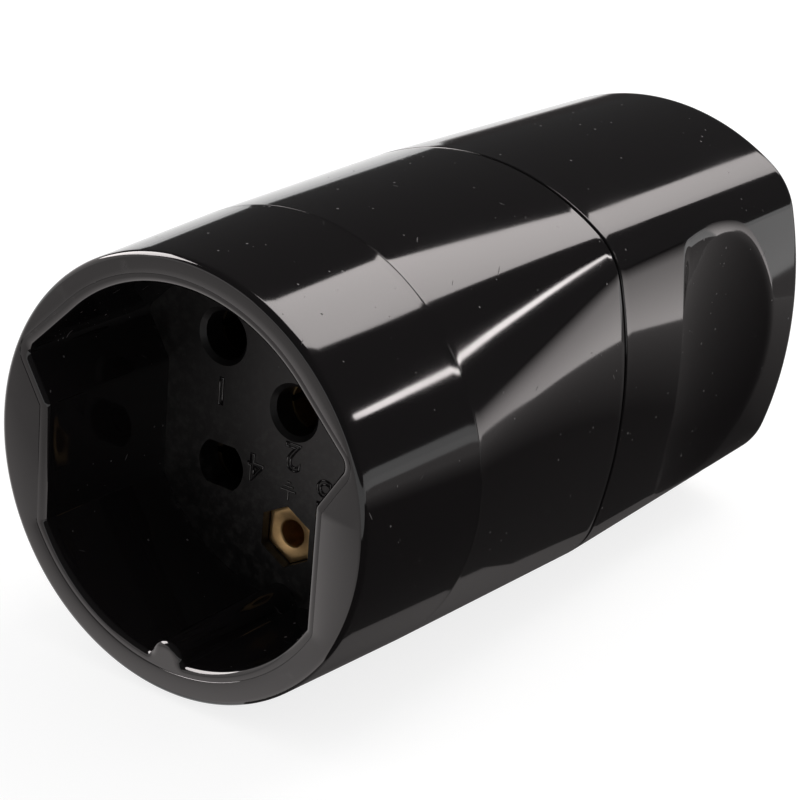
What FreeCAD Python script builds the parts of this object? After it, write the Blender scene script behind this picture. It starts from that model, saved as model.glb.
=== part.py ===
import FreeCAD, Part
import math
import os

import Sketcher

# An inline socket connector for a cord end, lying on its side. Millimetres.
# Every piece is drawn about the connector's own axis, which runs along Y from the rim, at 0, to the rear.
# Its placement then lifts that axis to its height above the table and centres the length on the origin.

SIZES = {
    # outside of the housing
    "total_length": 87.7,
    "rim_radius": 22.6,
    "seam_radius": 23.35,
    "collar_length": 17.7,
    "rim_round": 0.9,
    "grip_start": 47.7,
    "shadow_gap": 0.35,
    "grip_half_width": 20.85,
    "grip_half_height": 23.2,
    "end_scale": 0.963,
    "crown_radius": 28.0,
    "flank_radius": 50.0,
    "corner_radius": 8.4,
    "flank_angle": 16.1,
    "crown_angle": 56.5,
    "end_round": 1.0,
    # polarised recess
    "recess_depth": 18.3,
    "recess_radius": 19.5,
    "recess_low_radius": 19.1,
    "recess_flat": 16.5,
    "flat_top": 2.95,
    "ear_height": 7.9,
    "ear_round": 1.2,
    "mouth_round": 0.5,
    "key_half_width": 1.9,
    "key_foot_half_width": 2.6,
    "key_crest_radius": 1.95,
    "key_crest": 17.1,
    # walls and fits
    "shell_wall": 1.9,
    "register_depth": 1.6,
    "shoulder_step": 1.0,
    "lip_setback": 1.0,
    "lip_length": 2.3,
    "fit_gap": 0.1,
    "close_gap": 0.05,
    # contact places, seen from the front
    "upper_contact_x": 9.6,
    "upper_contact_z": 7.46,
    "centre_contact_z": 2.0,
    "lower_contact_x": 8.9,
    "lower_contact_z": 6.55,
    "earth_z": 11.75,
    # contact carrier
    "plate_thickness": 3.0,
    "tower_radius": 17.6,
    "tower_top": 13.2,
    "tower_bottom": 16.3,
    "tower_length": 13.7,
    "pin_hole_radius": 2.62,
    "pin_hole_chamfer": 0.5,
    "flatted_hole_radius": 2.92,
    "flatted_hole_half_height": 2.38,
    "chamber_radius": 3.75,
    "flange_thickness": 2.0,
    # contacts
    "sleeve_bore_radius": 2.45,
    "sleeve_radius": 3.2,
    "sleeve_bore_depth": 11.0,
    "slit_width": 0.7,
    "slit_length": 9.5,
    "groove_depth": 0.35,
    "groove_width": 2.1,
    "groove_start": 3.6,
    "spring_radius": 3.55,
    "spring_sweep": 325.0,
    "flange_radius": 4.2,
    "barrel_radius": 3.6,
    "barrel_length": 11.0,
    "wire_bore_radius": 1.6,
    "wire_bore_depth": 9.0,
    "terminal_setback": 4.0,
    # earth contact
    "hex_half_flats": 2.9,
    "hex_set_back": 1.0,
    "earth_bore_radius": 1.45,
    "earth_bore_depth": 15.0,
    "earth_flange_radius": 3.8,
    "earth_barrel_radius": 3.3,
    # retainer with its cord saddle
    "retainer_thickness": 2.5,
    "arm_outside": 16.0,
    "arm_thickness": 2.0,
    "arm_half_height": 4.0,
    "arm_length": 19.5,
    "saddle_length": 8.0,
    "saddle_top": 3.0,
    "saddle_bottom": 9.0,
    "cord_radius": 4.8,
    "clamp_half_width": 13.2,
    "clamp_bottom": 3.2,
    "clamp_top": 7.4,
    "clamp_length": 7.0,
    "clamp_edge_round": 0.8,
    "clamp_screw_x": 10.2,
    "clamp_screw_reach": 14.4,
    # inside of the grip
    "rear_wall": 3.5,
    "entry_radius": 5.6,
    "entry_round": 1.2,
    "front_cavity_length": 11.0,
    "deep_wall": 2.5,
    "tube_radius": 3.6,
    "tube_length": 22.0,
    "screw_recess_depth": 2.4,
    "screw_recess_radius": 2.8,
    # finger scoops
    "scoop_front": 59.9,
    "scoop_middle": 69.0,
    "scoop_depth": 2.5,
    "scoop_nose_radius": 4.0,
    "scoop_floor_radius": 35.0,
    "scoop_round": 1.0,
    # screws and inserts
    "top_screw_z": 17.3,
    "low_screw_x": 9.5,
    "low_screw_z": 14.7,
    "housing_shank_radius": 1.45,
    "housing_head_radius": 2.6,
    "housing_head_height": 1.8,
    "insert_radius": 2.1,
    "insert_bore_radius": 1.5,
    "insert_length": 4.4,
    "insert_boss_radius": 3.0,
    "insert_boss_length": 3.2,
    "carrier_screw_x": 18.9,
    "carrier_screw_z": 3.4,
    "carrier_screw_length": 8.0,
    "screw_channel_radius": 2.5,
    "small_shank_radius": 1.05,
    "small_head_radius": 2.0,
    "small_head_height": 1.5,
    "retainer_screw_length": 9.0,
    "retainer_screw_top": 10.2,
    "retainer_screw_low": 4.9,
    "terminal_shank_radius": 1.3,
    "terminal_head_radius": 1.9,
    "terminal_head_height": 1.6,
    "terminal_screw_length": 3.2,
    "slot_width": 0.6,
    "slot_depth": 0.7,
}

AXIS_HEIGHT = "max(Sizes.seam_radius; Sizes.grip_half_height)"
X_AXIS = FreeCAD.Vector(1, 0, 0)
Y_AXIS = FreeCAD.Vector(0, 1, 0)
Z_AXIS = FreeCAD.Vector(0, 0, 1)
HALF_TURN = 180
QUARTER_TURN = 90
NEAR = 0.01


class Size:
    """A length that carries its number together with the sheet formula that gives it."""

    def __init__(self, value, text):
        self.value = value
        self.text = text

    def joined(self, other, sign, value):
        return Size(value, f"({self.text} {sign} {other.text})")

    def __add__(self, other):
        return self.joined(other, "+", self.value + other.value)

    def __sub__(self, other):
        return self.joined(other, "-", self.value - other.value)

    def __mul__(self, other):
        return self.joined(other, "*", self.value * other.value)

    def __truediv__(self, other):
        return self.joined(other, "/", self.value / other.value)

    def __neg__(self):
        return self if self is ZERO else Size(-self.value, f"(-{self.text})")


def size(alias):
    """The named dimension, as a number and as its cell in the sheet."""
    return Size(SIZES[alias], f"Sizes.{alias}")


def plain(number):
    return Size(number, f"{number}")


def root(amount):
    return Size(math.sqrt(amount.value), f"sqrt({amount.text})")


def cosine(angle):
    return Size(math.cos(math.radians(angle.value)), f"cos({angle.text})")


def sine(angle):
    return Size(math.sin(math.radians(angle.value)), f"sin({angle.text})")


def side_of(radius, other):
    """The second short side of a right triangle whose long side is the radius."""
    return root(radius * radius - other * other)


def vector(x, y):
    return FreeCAD.Vector(x.value, y.value, 0)


ZERO = plain(0)
ONE = plain(1)
TWO = plain(2)
THREE = plain(3)

doc = FreeCAD.newDocument("InlineSocketConnector")


def fill_sheet():
    """Writes each driving dimension as a plain number in a cell with its name as alias."""
    sheet = doc.addObject("Spreadsheet::Sheet", "Sizes")
    for row, (alias, value) in enumerate(SIZES.items(), start=1):
        sheet.set(f"A{row}", alias)
        sheet.set(f"B{row}", str(value))
        sheet.setAlias(f"B{row}", alias)
    doc.recompute()


def start_body(label, x=ZERO, y=ZERO, z=ZERO, axis=Z_AXIS, turn=0):
    """A new body whose own origin lies at x, y, z from the rim's centre, turned about that axis."""
    body = doc.addObject("PartDesign::Body", label)
    body.Label = label
    body.Placement = FreeCAD.Placement(FreeCAD.Vector(), FreeCAD.Rotation(axis, turn))
    body.setExpression("Placement.Base.x", x.text)
    body.setExpression("Placement.Base.y", f"{y.text} - Sizes.total_length / 2")
    body.setExpression("Placement.Base.z", f"{z.text} + {AXIS_HEIGHT}")
    return body


def plane_of(body, role):
    return next(f for f in body.Origin.OriginFeatures if f.Role == role)


def sketch_on(body, role, distance=ZERO):
    """An empty sketch on one of the body's planes. On XZ the distance runs rearward, on XY upward."""
    sketch = body.newObject("Sketcher::SketchObject", f"{body.Label}_sketch")
    sketch.AttachmentSupport = [(plane_of(body, role), "")]
    sketch.MapMode = "FlatFace"
    along = -distance if role == "XZ_Plane" else distance
    sketch.AttachmentOffset = FreeCAD.Placement(FreeCAD.Vector(0, 0, along.value), FreeCAD.Rotation())
    sketch.setExpression("AttachmentOffset.Base.z", along.text)
    return sketch


def cross_section(body, distance=ZERO):
    return sketch_on(body, "XZ_Plane", distance)


def bind(sketch, kind, arguments, amount):
    """Adds a dimension to the sketch and ties it to the sheet."""
    index = sketch.addConstraint(Sketcher.Constraint(kind, *arguments, amount.value))
    sketch.setExpression(f"Constraints[{index}]", amount.text)


def pin_point(sketch, item, end, x, y):
    """Fixes one point of an item at x, y from the sketch's origin."""
    for kind, amount, axis in (("DistanceX", x, -2), ("DistanceY", y, -1)):
        if amount is ZERO:
            sketch.addConstraint(Sketcher.Constraint("PointOnObject", item, end, axis))
        elif amount.value < 0:
            bind(sketch, kind, (item, end, -1, 1), -amount)
        else:
            bind(sketch, kind, (-1, 1, item, end), amount)


def draw_circle(sketch, x, y, radius):
    item = sketch.addGeometry(Part.Circle(vector(x, y), Z_AXIS, radius.value), False)
    pin_point(sketch, item, 3, x, y)
    bind(sketch, "Radius", (item,), radius)


def arc_between(start, finish, radius, side):
    """The arc from start to finish. Side 1 has its centre to the left of the chord, side -1 to the right."""
    chord = finish - start
    half = chord.Length / 2
    reach = math.sqrt(max(radius * radius - half * half, 0))
    left = FreeCAD.Vector(-chord.y, chord.x, 0).normalize()
    centre = start + chord * 0.5 + left * (reach * side)
    first, last = (start, finish) if side > 0 else (finish, start)
    angles = [math.atan2(p.y - centre.y, p.x - centre.x) for p in (first, last)]
    if angles[1] < angles[0]:
        angles[1] += 2 * math.pi
    return Part.ArcOfCircle(Part.Circle(centre, Z_AXIS, radius), *angles)


def draw_outline(sketch, corners, arcs=()):
    """A closed outline, counter-clockwise. Arcs gives {edge number: (radius, side)}, the rest is straight."""
    arcs = dict(arcs)
    points = [vector(x, y) for x, y in corners]
    ends = []
    for k, start in enumerate(points):
        finish = points[(k + 1) % len(points)]
        if k in arcs:
            radius, side = arcs[k]
            item = sketch.addGeometry(arc_between(start, finish, radius.value, side), False)
            ends.append((item, 1, 2) if side > 0 else (item, 2, 1))
        else:
            item = sketch.addGeometry(Part.LineSegment(start, finish), False)
            ends.append((item, 1, 2))
    for k, (item, first, last) in enumerate(ends):
        before = ends[k - 1]
        sketch.addConstraint(Sketcher.Constraint("Coincident", before[0], before[2], item, first))
        pin_point(sketch, item, first, *corners[k])
    for k, (radius, side) in arcs.items():
        bind(sketch, "Radius", (ends[k][0],), radius)


def draw_box(sketch, left, right, low, high):
    draw_outline(sketch, [(left, low), (right, low), (right, high), (left, high)])


def draw_hexagon(sketch, half_flats, z=ZERO):
    """A hexagon at height z with a corner at its top and at its bottom."""
    half_side = half_flats / root(THREE)
    tip = half_side * TWO
    draw_outline(sketch, [
        (half_flats, z - half_side), (half_flats, z + half_side), (ZERO, z + tip),
        (-half_flats, z + half_side), (-half_flats, z - half_side), (ZERO, z - tip),
    ])


def ring_section(body, distance, radius):
    """A circle cut into the same eight arcs as the grip's section, so that the two can be lofted."""
    sketch = cross_section(body, distance)
    near = [(radius * cosine(a), radius * sine(a)) for a in (size("flank_angle"), size("crown_angle"))]
    corners = near + [(-x, y) for x, y in reversed(near)]
    corners += [(-x, -y) for x, y in corners]
    draw_outline(sketch, corners, {k: (radius, 1) for k in range(len(corners))})
    return sketch


def grip_section(body, distance, scale=ONE, inset=ZERO):
    """A rounded oblong with crowned sides, as eight tangent arcs, that far within the outside."""
    sketch = cross_section(body, distance)
    radii = {name: size(f"{name}_radius") * scale - inset for name in ("corner", "crown", "flank")}
    crown_centre = (size("grip_half_height") - size("crown_radius")) * scale
    flank_centre = (size("grip_half_width") - size("flank_radius")) * scale
    top, right = vector(ZERO, crown_centre), vector(flank_centre, ZERO)
    corner = radii["corner"].value
    meeting = upper_crossing(top, radii["crown"].value - corner, right, radii["flank"].value - corner)
    flank = math.atan2(meeting.y, meeting.x - right.x)
    crown = math.atan2(meeting.y - top.y, meeting.x)
    turns = [flank, crown, math.pi - crown, math.pi - flank]
    turns += [math.pi + t for t in turns]
    turns.append(2 * math.pi + flank)
    mirrored = FreeCAD.Vector(-meeting.x, meeting.y, 0)
    centres = [meeting, top, mirrored, -right, -meeting, -top, -mirrored, right]
    kinds = ["corner", "crown", "corner", "flank"] * 2
    items = []
    for k, (centre, kind) in enumerate(zip(centres, kinds)):
        circle = Part.Circle(centre, Z_AXIS, radii[kind].value)
        items.append(sketch.addGeometry(Part.ArcOfCircle(circle, turns[k], turns[k + 1]), False))
    for k, (item, kind) in enumerate(zip(items, kinds)):
        sketch.addConstraint(Sketcher.Constraint("Tangent", items[k - 1], 2, item, 1))
        bind(sketch, "Radius", (item,), radii[kind])
    for k, (x, y) in {1: (ZERO, crown_centre), 5: (ZERO, -crown_centre),
                      3: (-flank_centre, ZERO), 7: (flank_centre, ZERO)}.items():
        pin_point(sketch, items[k], 3, x, y)
    return sketch


def upper_crossing(first, first_radius, second, second_radius):
    """The upper right point where two circles cross."""
    between = second - first
    span = between.Length
    along = (first_radius ** 2 - second_radius ** 2 + span ** 2) / (2 * span)
    across = math.sqrt(max(first_radius ** 2 - along ** 2, 0))
    unit = between * (1 / span)
    normal = FreeCAD.Vector(-unit.y, unit.x, 0)
    choices = [first + unit * along + normal * (across * s) for s in (1, -1)]
    return max(choices, key=lambda p: p.x + p.y)


def pad(body, sketch, length):
    """Adds material rearward from a cross-section."""
    feature = body.newObject("PartDesign::Pad", f"{body.Label}_pad")
    feature.Profile = sketch
    feature.Reversed = True
    feature.setExpression("Length", length.text)
    return feature


def pocket(body, sketch, length, backward=False):
    """Takes material away rearward from a section, or downward from a plan. Backward turns that round."""
    feature = body.newObject("PartDesign::Pocket", f"{body.Label}_pocket")
    feature.Profile = sketch
    feature.Reversed = backward
    feature.setExpression("Length", length.text)
    return feature


def pocket_circles(body, distance, places, radius, length):
    """One pocket with a round hole at each place, rearward from the distance given."""
    sketch = cross_section(body, distance)
    for x, z in places:
        draw_circle(sketch, x, z, radius)
    return pocket(body, sketch, length)


def loft(body, kind, front, rear):
    """Joins two sections, drawn from the rear one forward, so that the solid's faces look outward."""
    feature = body.newObject(f"PartDesign::{kind}Loft", f"{body.Label}_loft")
    feature.Profile = rear
    feature.Sections = [front]
    return feature


def revolve(body, profile, angle=plain(360)):
    """Turns an outline of radius and distance about the body's Y axis."""
    sketch = sketch_on(body, "XY_Plane")
    draw_outline(sketch, profile)
    feature = body.newObject("PartDesign::Revolution", f"{body.Label}_turned")
    feature.Profile = sketch
    feature.ReferenceAxis = (sketch, ["V_Axis"])
    feature.setExpression("Angle", angle.text)
    return feature


def dress_edges(body, kind, feature, amount, test):
    """Rounds or bevels the edges of a feature that pass the test."""
    doc.recompute()
    edges = [f"Edge{k}" for k, edge in enumerate(feature.Shape.Edges, start=1) if test(edge)]
    dressing = body.newObject(f"PartDesign::{kind}", f"{body.Label}_{kind.lower()}")
    dressing.Base = (feature, edges)
    dressing.setExpression("Radius" if kind == "Fillet" else "Size", amount.text)
    return dressing


def lies_at(edge, y):
    """True for an edge in the cross-section at distance y."""
    box = edge.BoundBox
    return abs(box.YMin - y.value) < NEAR and abs(box.YMax - y.value) < NEAR


def runs_along(edge, x, z):
    """True for an edge that runs along the connector at x and z from its axis, on either side."""
    ends = [v.Point for v in edge.Vertexes]
    return all(abs(abs(p.x) - x.value) < NEAR and abs(p.z - z.value) < NEAR for p in ends)


def is_circle(edge, y, radius):
    """True for a whole or part circle of that radius in the cross-section at y."""
    round_edge = lies_at(edge, y) and isinstance(edge.Curve, Part.Circle)
    return round_edge and abs(edge.Curve.Radius - radius.value) < NEAR


# planes along the connector
plate_rear = size("recess_depth") + size("plate_thickness")
tower_rear = plate_rear + size("tower_length")
flange_front = tower_rear - size("flange_thickness")
retainer_rear = tower_rear + size("retainer_thickness")
barrel_rear = tower_rear + size("barrel_length")
terminal_plane = barrel_rear - size("terminal_setback")
sleeve_front = plate_rear + size("fit_gap")
groove_front = sleeve_front + size("groove_start")
groove_rear = groove_front + size("groove_width")
insert_front = plate_rear + size("insert_boss_length") - size("insert_length")
saddle_front = retainer_rear + size("arm_length") - size("saddle_length")
clamp_middle = saddle_front + size("saddle_length") / TWO
grip_front = size("grip_start") + size("shadow_gap")
scoop_floor = size("grip_half_width") * (ONE + size("end_scale")) / TWO - size("scoop_depth")
rear_face = size("total_length")
screw_seat = rear_face - size("screw_recess_depth")
inner_rear = rear_face - size("rear_wall")

# radii that two pieces share
shell_bore = size("seam_radius") - size("register_depth")
carrier_radius = shell_bore - size("fit_gap")
groove_radius = size("sleeve_radius") - size("groove_depth")

CONTACTS = {
    "upper_left": (-size("upper_contact_x"), size("upper_contact_z")),
    "upper_right": (size("upper_contact_x"), size("upper_contact_z")),
    "centre": (ZERO, size("centre_contact_z")),
    "lower_left": (-size("lower_contact_x"), -size("lower_contact_z")),
    "lower_right": (size("lower_contact_x"), -size("lower_contact_z")),
}
FLATTED = ("lower_left", "lower_right")
EARTH = (ZERO, -size("earth_z"))
HOUSING_SCREWS = {
    "upper": (ZERO, size("top_screw_z")),
    "lower_left": (-size("low_screw_x"), -size("low_screw_z")),
    "lower_right": (size("low_screw_x"), -size("low_screw_z")),
}
CARRIER_SCREWS = {
    "left": (-size("carrier_screw_x"), -size("carrier_screw_z")),
    "right": (size("carrier_screw_x"), -size("carrier_screw_z")),
}
RETAINER_SCREWS = {
    "upper": (ZERO, size("retainer_screw_top")),
    "lower": (ZERO, -size("retainer_screw_low")),
}
CLAMP_SCREWS = {"left": -size("clamp_screw_x"), "right": size("clamp_screw_x")}


def build_front_collar():
    """The drafted collar with its polarised recess, the guide key and the rounded rim."""
    body = start_body("front_collar")
    depth, collar = size("recess_depth"), size("collar_length")
    turned = revolve(body, [
        (ZERO, ZERO), (size("rim_radius"), ZERO), (size("seam_radius"), collar),
        (carrier_radius, collar), (carrier_radius, depth), (ZERO, depth),
    ])
    dress_edges(body, "Fillet", turned, size("rim_round"), lambda e: lies_at(e, ZERO))

    upper, low, flat = size("recess_radius"), size("recess_low_radius"), size("recess_flat")
    slant = upper / root(TWO)
    ear = upper * root(TWO) - size("ear_height")
    foot = side_of(low, flat)
    opening = cross_section(body)
    draw_outline(opening, [
        (slant, slant), (-slant, slant), (-ear, size("ear_height")), (-flat, size("flat_top")),
        (-flat, -foot), (flat, -foot), (flat, size("flat_top")), (ear, size("ear_height")),
    ], {0: (upper, 1), 4: (low, 1)})
    recess = pocket(body, opening, depth)
    ears = dress_edges(body, "Fillet", recess, size("ear_round"),
                       lambda e: runs_along(e, ear, size("ear_height")))
    dress_edges(body, "Fillet", ears, size("ear_round"), lambda e: runs_along(e, flat, size("flat_top")))

    half, foot_half, crest = size("key_half_width"), size("key_foot_half_width"), size("key_crest_radius")
    shoulder = size("key_crest") + crest - side_of(crest, half)
    bed = low + size("mouth_round")
    rib = cross_section(body)
    draw_outline(rib, [(half, -shoulder), (-half, -shoulder), (-foot_half, -bed), (foot_half, -bed)],
                 {0: (crest, 1)})
    key = pad(body, rib, depth)
    reach = size("rim_radius") - size("rim_round") - size("close_gap")
    dress_edges(body, "Fillet", key, size("mouth_round"),
                lambda e: lies_at(e, ZERO) and all(math.hypot(v.X, v.Z) < reach.value for v in e.Vertexes))
    pocket_circles(body, depth - size("carrier_screw_length"), CARRIER_SCREWS.values(),
                   size("small_shank_radius") + size("close_gap"), size("carrier_screw_length"))
    return body


def tower_outline(body, distance):
    """The outline that the carrier's tower and the retainer share: a circle cut off above and below."""
    radius, top, bottom = size("tower_radius"), size("tower_top"), size("tower_bottom")
    half_top, half_bottom = side_of(radius, top), side_of(radius, bottom)
    sketch = cross_section(body, distance)
    draw_outline(sketch, [
        (half_bottom, -bottom), (half_top, top), (-half_top, top), (-half_bottom, -bottom),
    ], {0: (radius, 1), 2: (radius, 1)})
    return sketch


def flatted_hole(body, x, z):
    """A pin hole with a flat above and below, through the carrier's plate."""
    radius, half = size("flatted_hole_radius"), size("flatted_hole_half_height")
    reach = side_of(radius, half)
    sketch = cross_section(body, size("recess_depth"))
    draw_outline(sketch, [
        (x + reach, z - half), (x + reach, z + half), (x - reach, z + half), (x - reach, z - half),
    ], {0: (radius, 1), 2: (radius, 1)})
    pocket(body, sketch, size("plate_thickness"))


def build_contact_carrier():
    """The recess floor with its pin holes, and behind it the tower that houses the contacts."""
    body = start_body("contact_carrier")
    floor, plate, tower = size("recess_depth"), size("plate_thickness"), size("tower_length")
    disc = cross_section(body, floor)
    draw_circle(disc, ZERO, ZERO, carrier_radius)
    pad(body, disc, plate)
    pad(body, tower_outline(body, plate_rear), tower)
    for place in HOUSING_SCREWS.values():
        boss = cross_section(body, plate_rear)
        draw_circle(boss, *place, size("insert_boss_radius"))
        pad(body, boss, size("insert_boss_length"))

    gap, close = size("fit_gap"), size("close_gap")
    pocket_circles(body, plate_rear, CONTACTS.values(), size("chamber_radius"), tower)
    flange = size("flange_thickness")
    pocket_circles(body, flange_front, CONTACTS.values(), size("flange_radius") + gap, flange)
    pocket_circles(body, flange_front, [EARTH], size("earth_flange_radius") + gap, flange)
    hexagon = cross_section(body, floor)
    draw_hexagon(hexagon, size("hex_half_flats") + gap, EARTH[1])
    pocket(body, hexagon, plate + tower)
    pocket_circles(body, insert_front, HOUSING_SCREWS.values(), size("insert_radius") + close,
                   tower_rear - insert_front)
    pocket_circles(body, plate_rear - size("small_head_height"), CARRIER_SCREWS.values(),
                   size("small_head_radius") + gap, size("small_head_height"))
    pocket_circles(body, plate_rear, CARRIER_SCREWS.values(), size("screw_channel_radius"), tower)
    pocket_circles(body, floor, CARRIER_SCREWS.values(), size("small_shank_radius") + gap, plate)
    pocket_circles(body, tower_rear - size("retainer_screw_length"), RETAINER_SCREWS.values(),
                   size("small_shank_radius") + close, size("retainer_screw_length"))
    for side in FLATTED:
        flatted_hole(body, *CONTACTS[side])
    rounds = [place for side, place in CONTACTS.items() if side not in FLATTED]
    holes = pocket_circles(body, floor, rounds, size("pin_hole_radius"), plate)
    dress_edges(body, "Chamfer", holes, size("pin_hole_chamfer"),
                lambda e: is_circle(e, floor, size("pin_hole_radius")))
    return body


def build_contact_retainer():
    """The plate that holds the contacts in the tower, with two arms that carry the cord saddle."""
    body = start_body("contact_retainer")
    thickness, gap = size("retainer_thickness"), size("fit_gap")
    pad(body, tower_outline(body, tower_rear), thickness)
    outside = size("arm_outside")
    inside = outside - size("arm_thickness")
    half = size("arm_half_height")
    arms = cross_section(body, retainer_rear)
    draw_box(arms, inside, outside, -half, half)
    draw_box(arms, -outside, -inside, -half, half)
    pad(body, arms, size("arm_length"))
    saddle = cross_section(body, saddle_front)
    draw_box(saddle, -outside, outside, -size("saddle_bottom"), -size("saddle_top"))
    pad(body, saddle, size("saddle_length"))
    pocket_circles(body, saddle_front, [(ZERO, ZERO)], size("cord_radius"), size("saddle_length"))
    for places, radius in (
        (CONTACTS.values(), size("barrel_radius") + gap),
        ([EARTH], size("earth_barrel_radius") + gap),
        (HOUSING_SCREWS.values(), size("insert_radius") + gap),
        (CARRIER_SCREWS.values(), size("screw_channel_radius")),
        (RETAINER_SCREWS.values(), size("small_shank_radius") + gap),
    ):
        pocket_circles(body, tower_rear, places, radius, thickness)
    plan = sketch_on(body, "XY_Plane", -size("saddle_top"))
    for x in CLAMP_SCREWS.values():
        draw_circle(plan, x, clamp_middle, size("terminal_shank_radius") + size("close_gap"))
    pocket(body, plan, size("saddle_bottom") - size("saddle_top"))
    return body


def build_middle_shell():
    """The shell that runs from the round seam to the oblong one, hollow, with a lip for the grip."""
    body = start_body("middle_shell")
    wall, lip = size("shell_wall"), size("lip_length")
    start, end = size("collar_length"), size("grip_start")
    loft(body, "Additive", ring_section(body, start, size("seam_radius")), grip_section(body, end))
    pad(body, grip_section(body, end, ONE, size("lip_setback")), lip)
    inner = ring_section(body, plate_rear, shell_bore - size("shoulder_step"))
    loft(body, "Subtractive", inner, grip_section(body, end, ONE, wall))
    pocket(body, grip_section(body, end, ONE, wall), lip)
    pocket_circles(body, start, [(ZERO, ZERO)], shell_bore, plate_rear - start)
    return body


def cut_scoops(body):
    """A finger scoop in each flank: a steep nose that runs into a long hollow floor, cut straight down."""
    nose, floor, middle = size("scoop_nose_radius"), size("scoop_floor_radius"), size("scoop_middle")
    floor_centre = scoop_floor + floor
    nose_back = middle - size("scoop_front") - nose
    reach = side_of(floor - nose, nose_back)
    outer = floor_centre - reach
    stretch = floor / (floor - nose)
    meeting = (floor_centre - reach * stretch, middle - nose_back * stretch)
    tail = (outer, middle + side_of(floor, reach))
    lead = (outer, size("scoop_front"))
    plan = sketch_on(body, "XY_Plane")
    draw_outline(plan, [meeting, lead, tail], {0: (nose, 1), 2: (floor, 1)})
    mirrored = [(-x, y) for x, y in (meeting, tail, lead)]
    draw_outline(plan, mirrored, {0: (floor, 1), 2: (nose, 1)})
    both = pocket(body, plan, size("grip_half_height") * TWO)
    both.Midplane = True
    front = size("scoop_front")
    dress_edges(body, "Fillet", both, size("scoop_round"), lambda e: is_scoop_rim(e, front))


def is_scoop_rim(edge, front):
    """True for an edge where a scoop breaks out of the flank. The scoop's own edges run straight up."""
    box = edge.BoundBox
    slanted = box.YMax - box.YMin > NEAR
    return slanted and box.YMin > front.value - 1 and box.YMax < rear_face.value - size("end_round").value - 1


def build_rear_grip():
    """The tapered grip with a finger scoop in each flank, the cord entry and three screw tubes."""
    body = start_body("rear_grip")
    gap, end_scale = size("fit_gap"), size("end_scale")
    outside = loft(body, "Additive", grip_section(body, grip_front), grip_section(body, rear_face, end_scale))
    dress_edges(body, "Fillet", outside, size("end_round"), lambda e: lies_at(e, rear_face))
    cut_scoops(body)

    pocket(body, grip_section(body, grip_front, ONE, size("lip_setback") - gap),
           size("lip_length") - size("shadow_gap") + gap)
    pocket(body, grip_section(body, grip_front, end_scale, size("shell_wall")), size("front_cavity_length"))
    narrow = scoop_floor - size("shell_wall")
    crown = size("crown_radius") * end_scale - size("deep_wall")
    shoulder = side_of(crown, narrow) - (size("crown_radius") - size("grip_half_height")) * end_scale
    cavity = cross_section(body, grip_front)
    draw_outline(cavity, [(narrow, -shoulder), (narrow, shoulder), (-narrow, shoulder), (-narrow, -shoulder)],
                 {1: (crown, 1), 3: (crown, 1)})
    pocket(body, cavity, inner_rear - grip_front)
    for place in HOUSING_SCREWS.values():
        tube = cross_section(body, inner_rear - size("tube_length"))
        draw_circle(tube, *place, size("tube_radius"))
        pad(body, tube, size("tube_length"))
    pocket_circles(body, inner_rear - size("tube_length"), HOUSING_SCREWS.values(),
                   size("housing_shank_radius") + gap, size("tube_length") + size("rear_wall"))
    pocket_circles(body, screw_seat, HOUSING_SCREWS.values(), size("screw_recess_radius"),
                   size("screw_recess_depth"))
    entry = pocket_circles(body, inner_rear, [(ZERO, ZERO)], size("entry_radius"), size("rear_wall"))
    dress_edges(body, "Fillet", entry, size("entry_round"),
                lambda e: is_circle(e, rear_face, size("entry_radius")))
    return body


def cut_slits(body, reach):
    """Two crossed slits in a sleeve's mouth, which leave four springy fingers."""
    half = size("slit_width") / TWO
    for wide, tall in ((half, reach), (reach, half)):
        slit = cross_section(body, sleeve_front)
        draw_box(slit, -wide, wide, -tall, tall)
        pocket(body, slit, size("slit_length"))


def drill_terminal(body):
    """The cross hole for the terminal screw, upward from the wire's bore."""
    plan = sketch_on(body, "XY_Plane")
    draw_circle(plan, ZERO, terminal_plane, size("terminal_shank_radius") + size("close_gap"))
    pocket(body, plan, size("barrel_radius") * TWO, backward=True)


def build_contact(side, place, turn):
    """A turned brass contact: slit sleeve, flange and screw terminal in one piece."""
    x, z = place
    body = start_body(f"contact_{side}", x, ZERO, z, Y_AXIS, turn)
    bore, outer, wire = size("sleeve_bore_radius"), size("sleeve_radius"), size("wire_bore_radius")
    flange, barrel = size("flange_radius"), size("barrel_radius")
    bore_end = sleeve_front + size("sleeve_bore_depth")
    wire_end = barrel_rear - size("wire_bore_depth")
    revolve(body, [
        (bore, sleeve_front), (outer, sleeve_front), (outer, groove_front), (groove_radius, groove_front),
        (groove_radius, groove_rear), (outer, groove_rear), (outer, flange_front), (flange, flange_front),
        (flange, tower_rear), (barrel, tower_rear), (barrel, barrel_rear), (wire, barrel_rear),
        (wire, wire_end), (ZERO, wire_end), (ZERO, bore_end), (bore, bore_end),
    ])
    cut_slits(body, outer + size("fit_gap"))
    drill_terminal(body)
    return body


def build_spring(side, place):
    """The open steel ring that presses a sleeve's fingers together."""
    x, z = place
    body = start_body(f"spring_{side}", x, ZERO, z, Y_AXIS, QUARTER_TURN)
    inner, close = groove_radius + size("close_gap"), size("close_gap")
    front, rear = groove_front + close, groove_rear - close
    ring = revolve(body, [
        (inner, front), (size("spring_radius"), front), (size("spring_radius"), rear), (inner, rear),
    ], size("spring_sweep"))
    ring.Midplane = True
    return body


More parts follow.
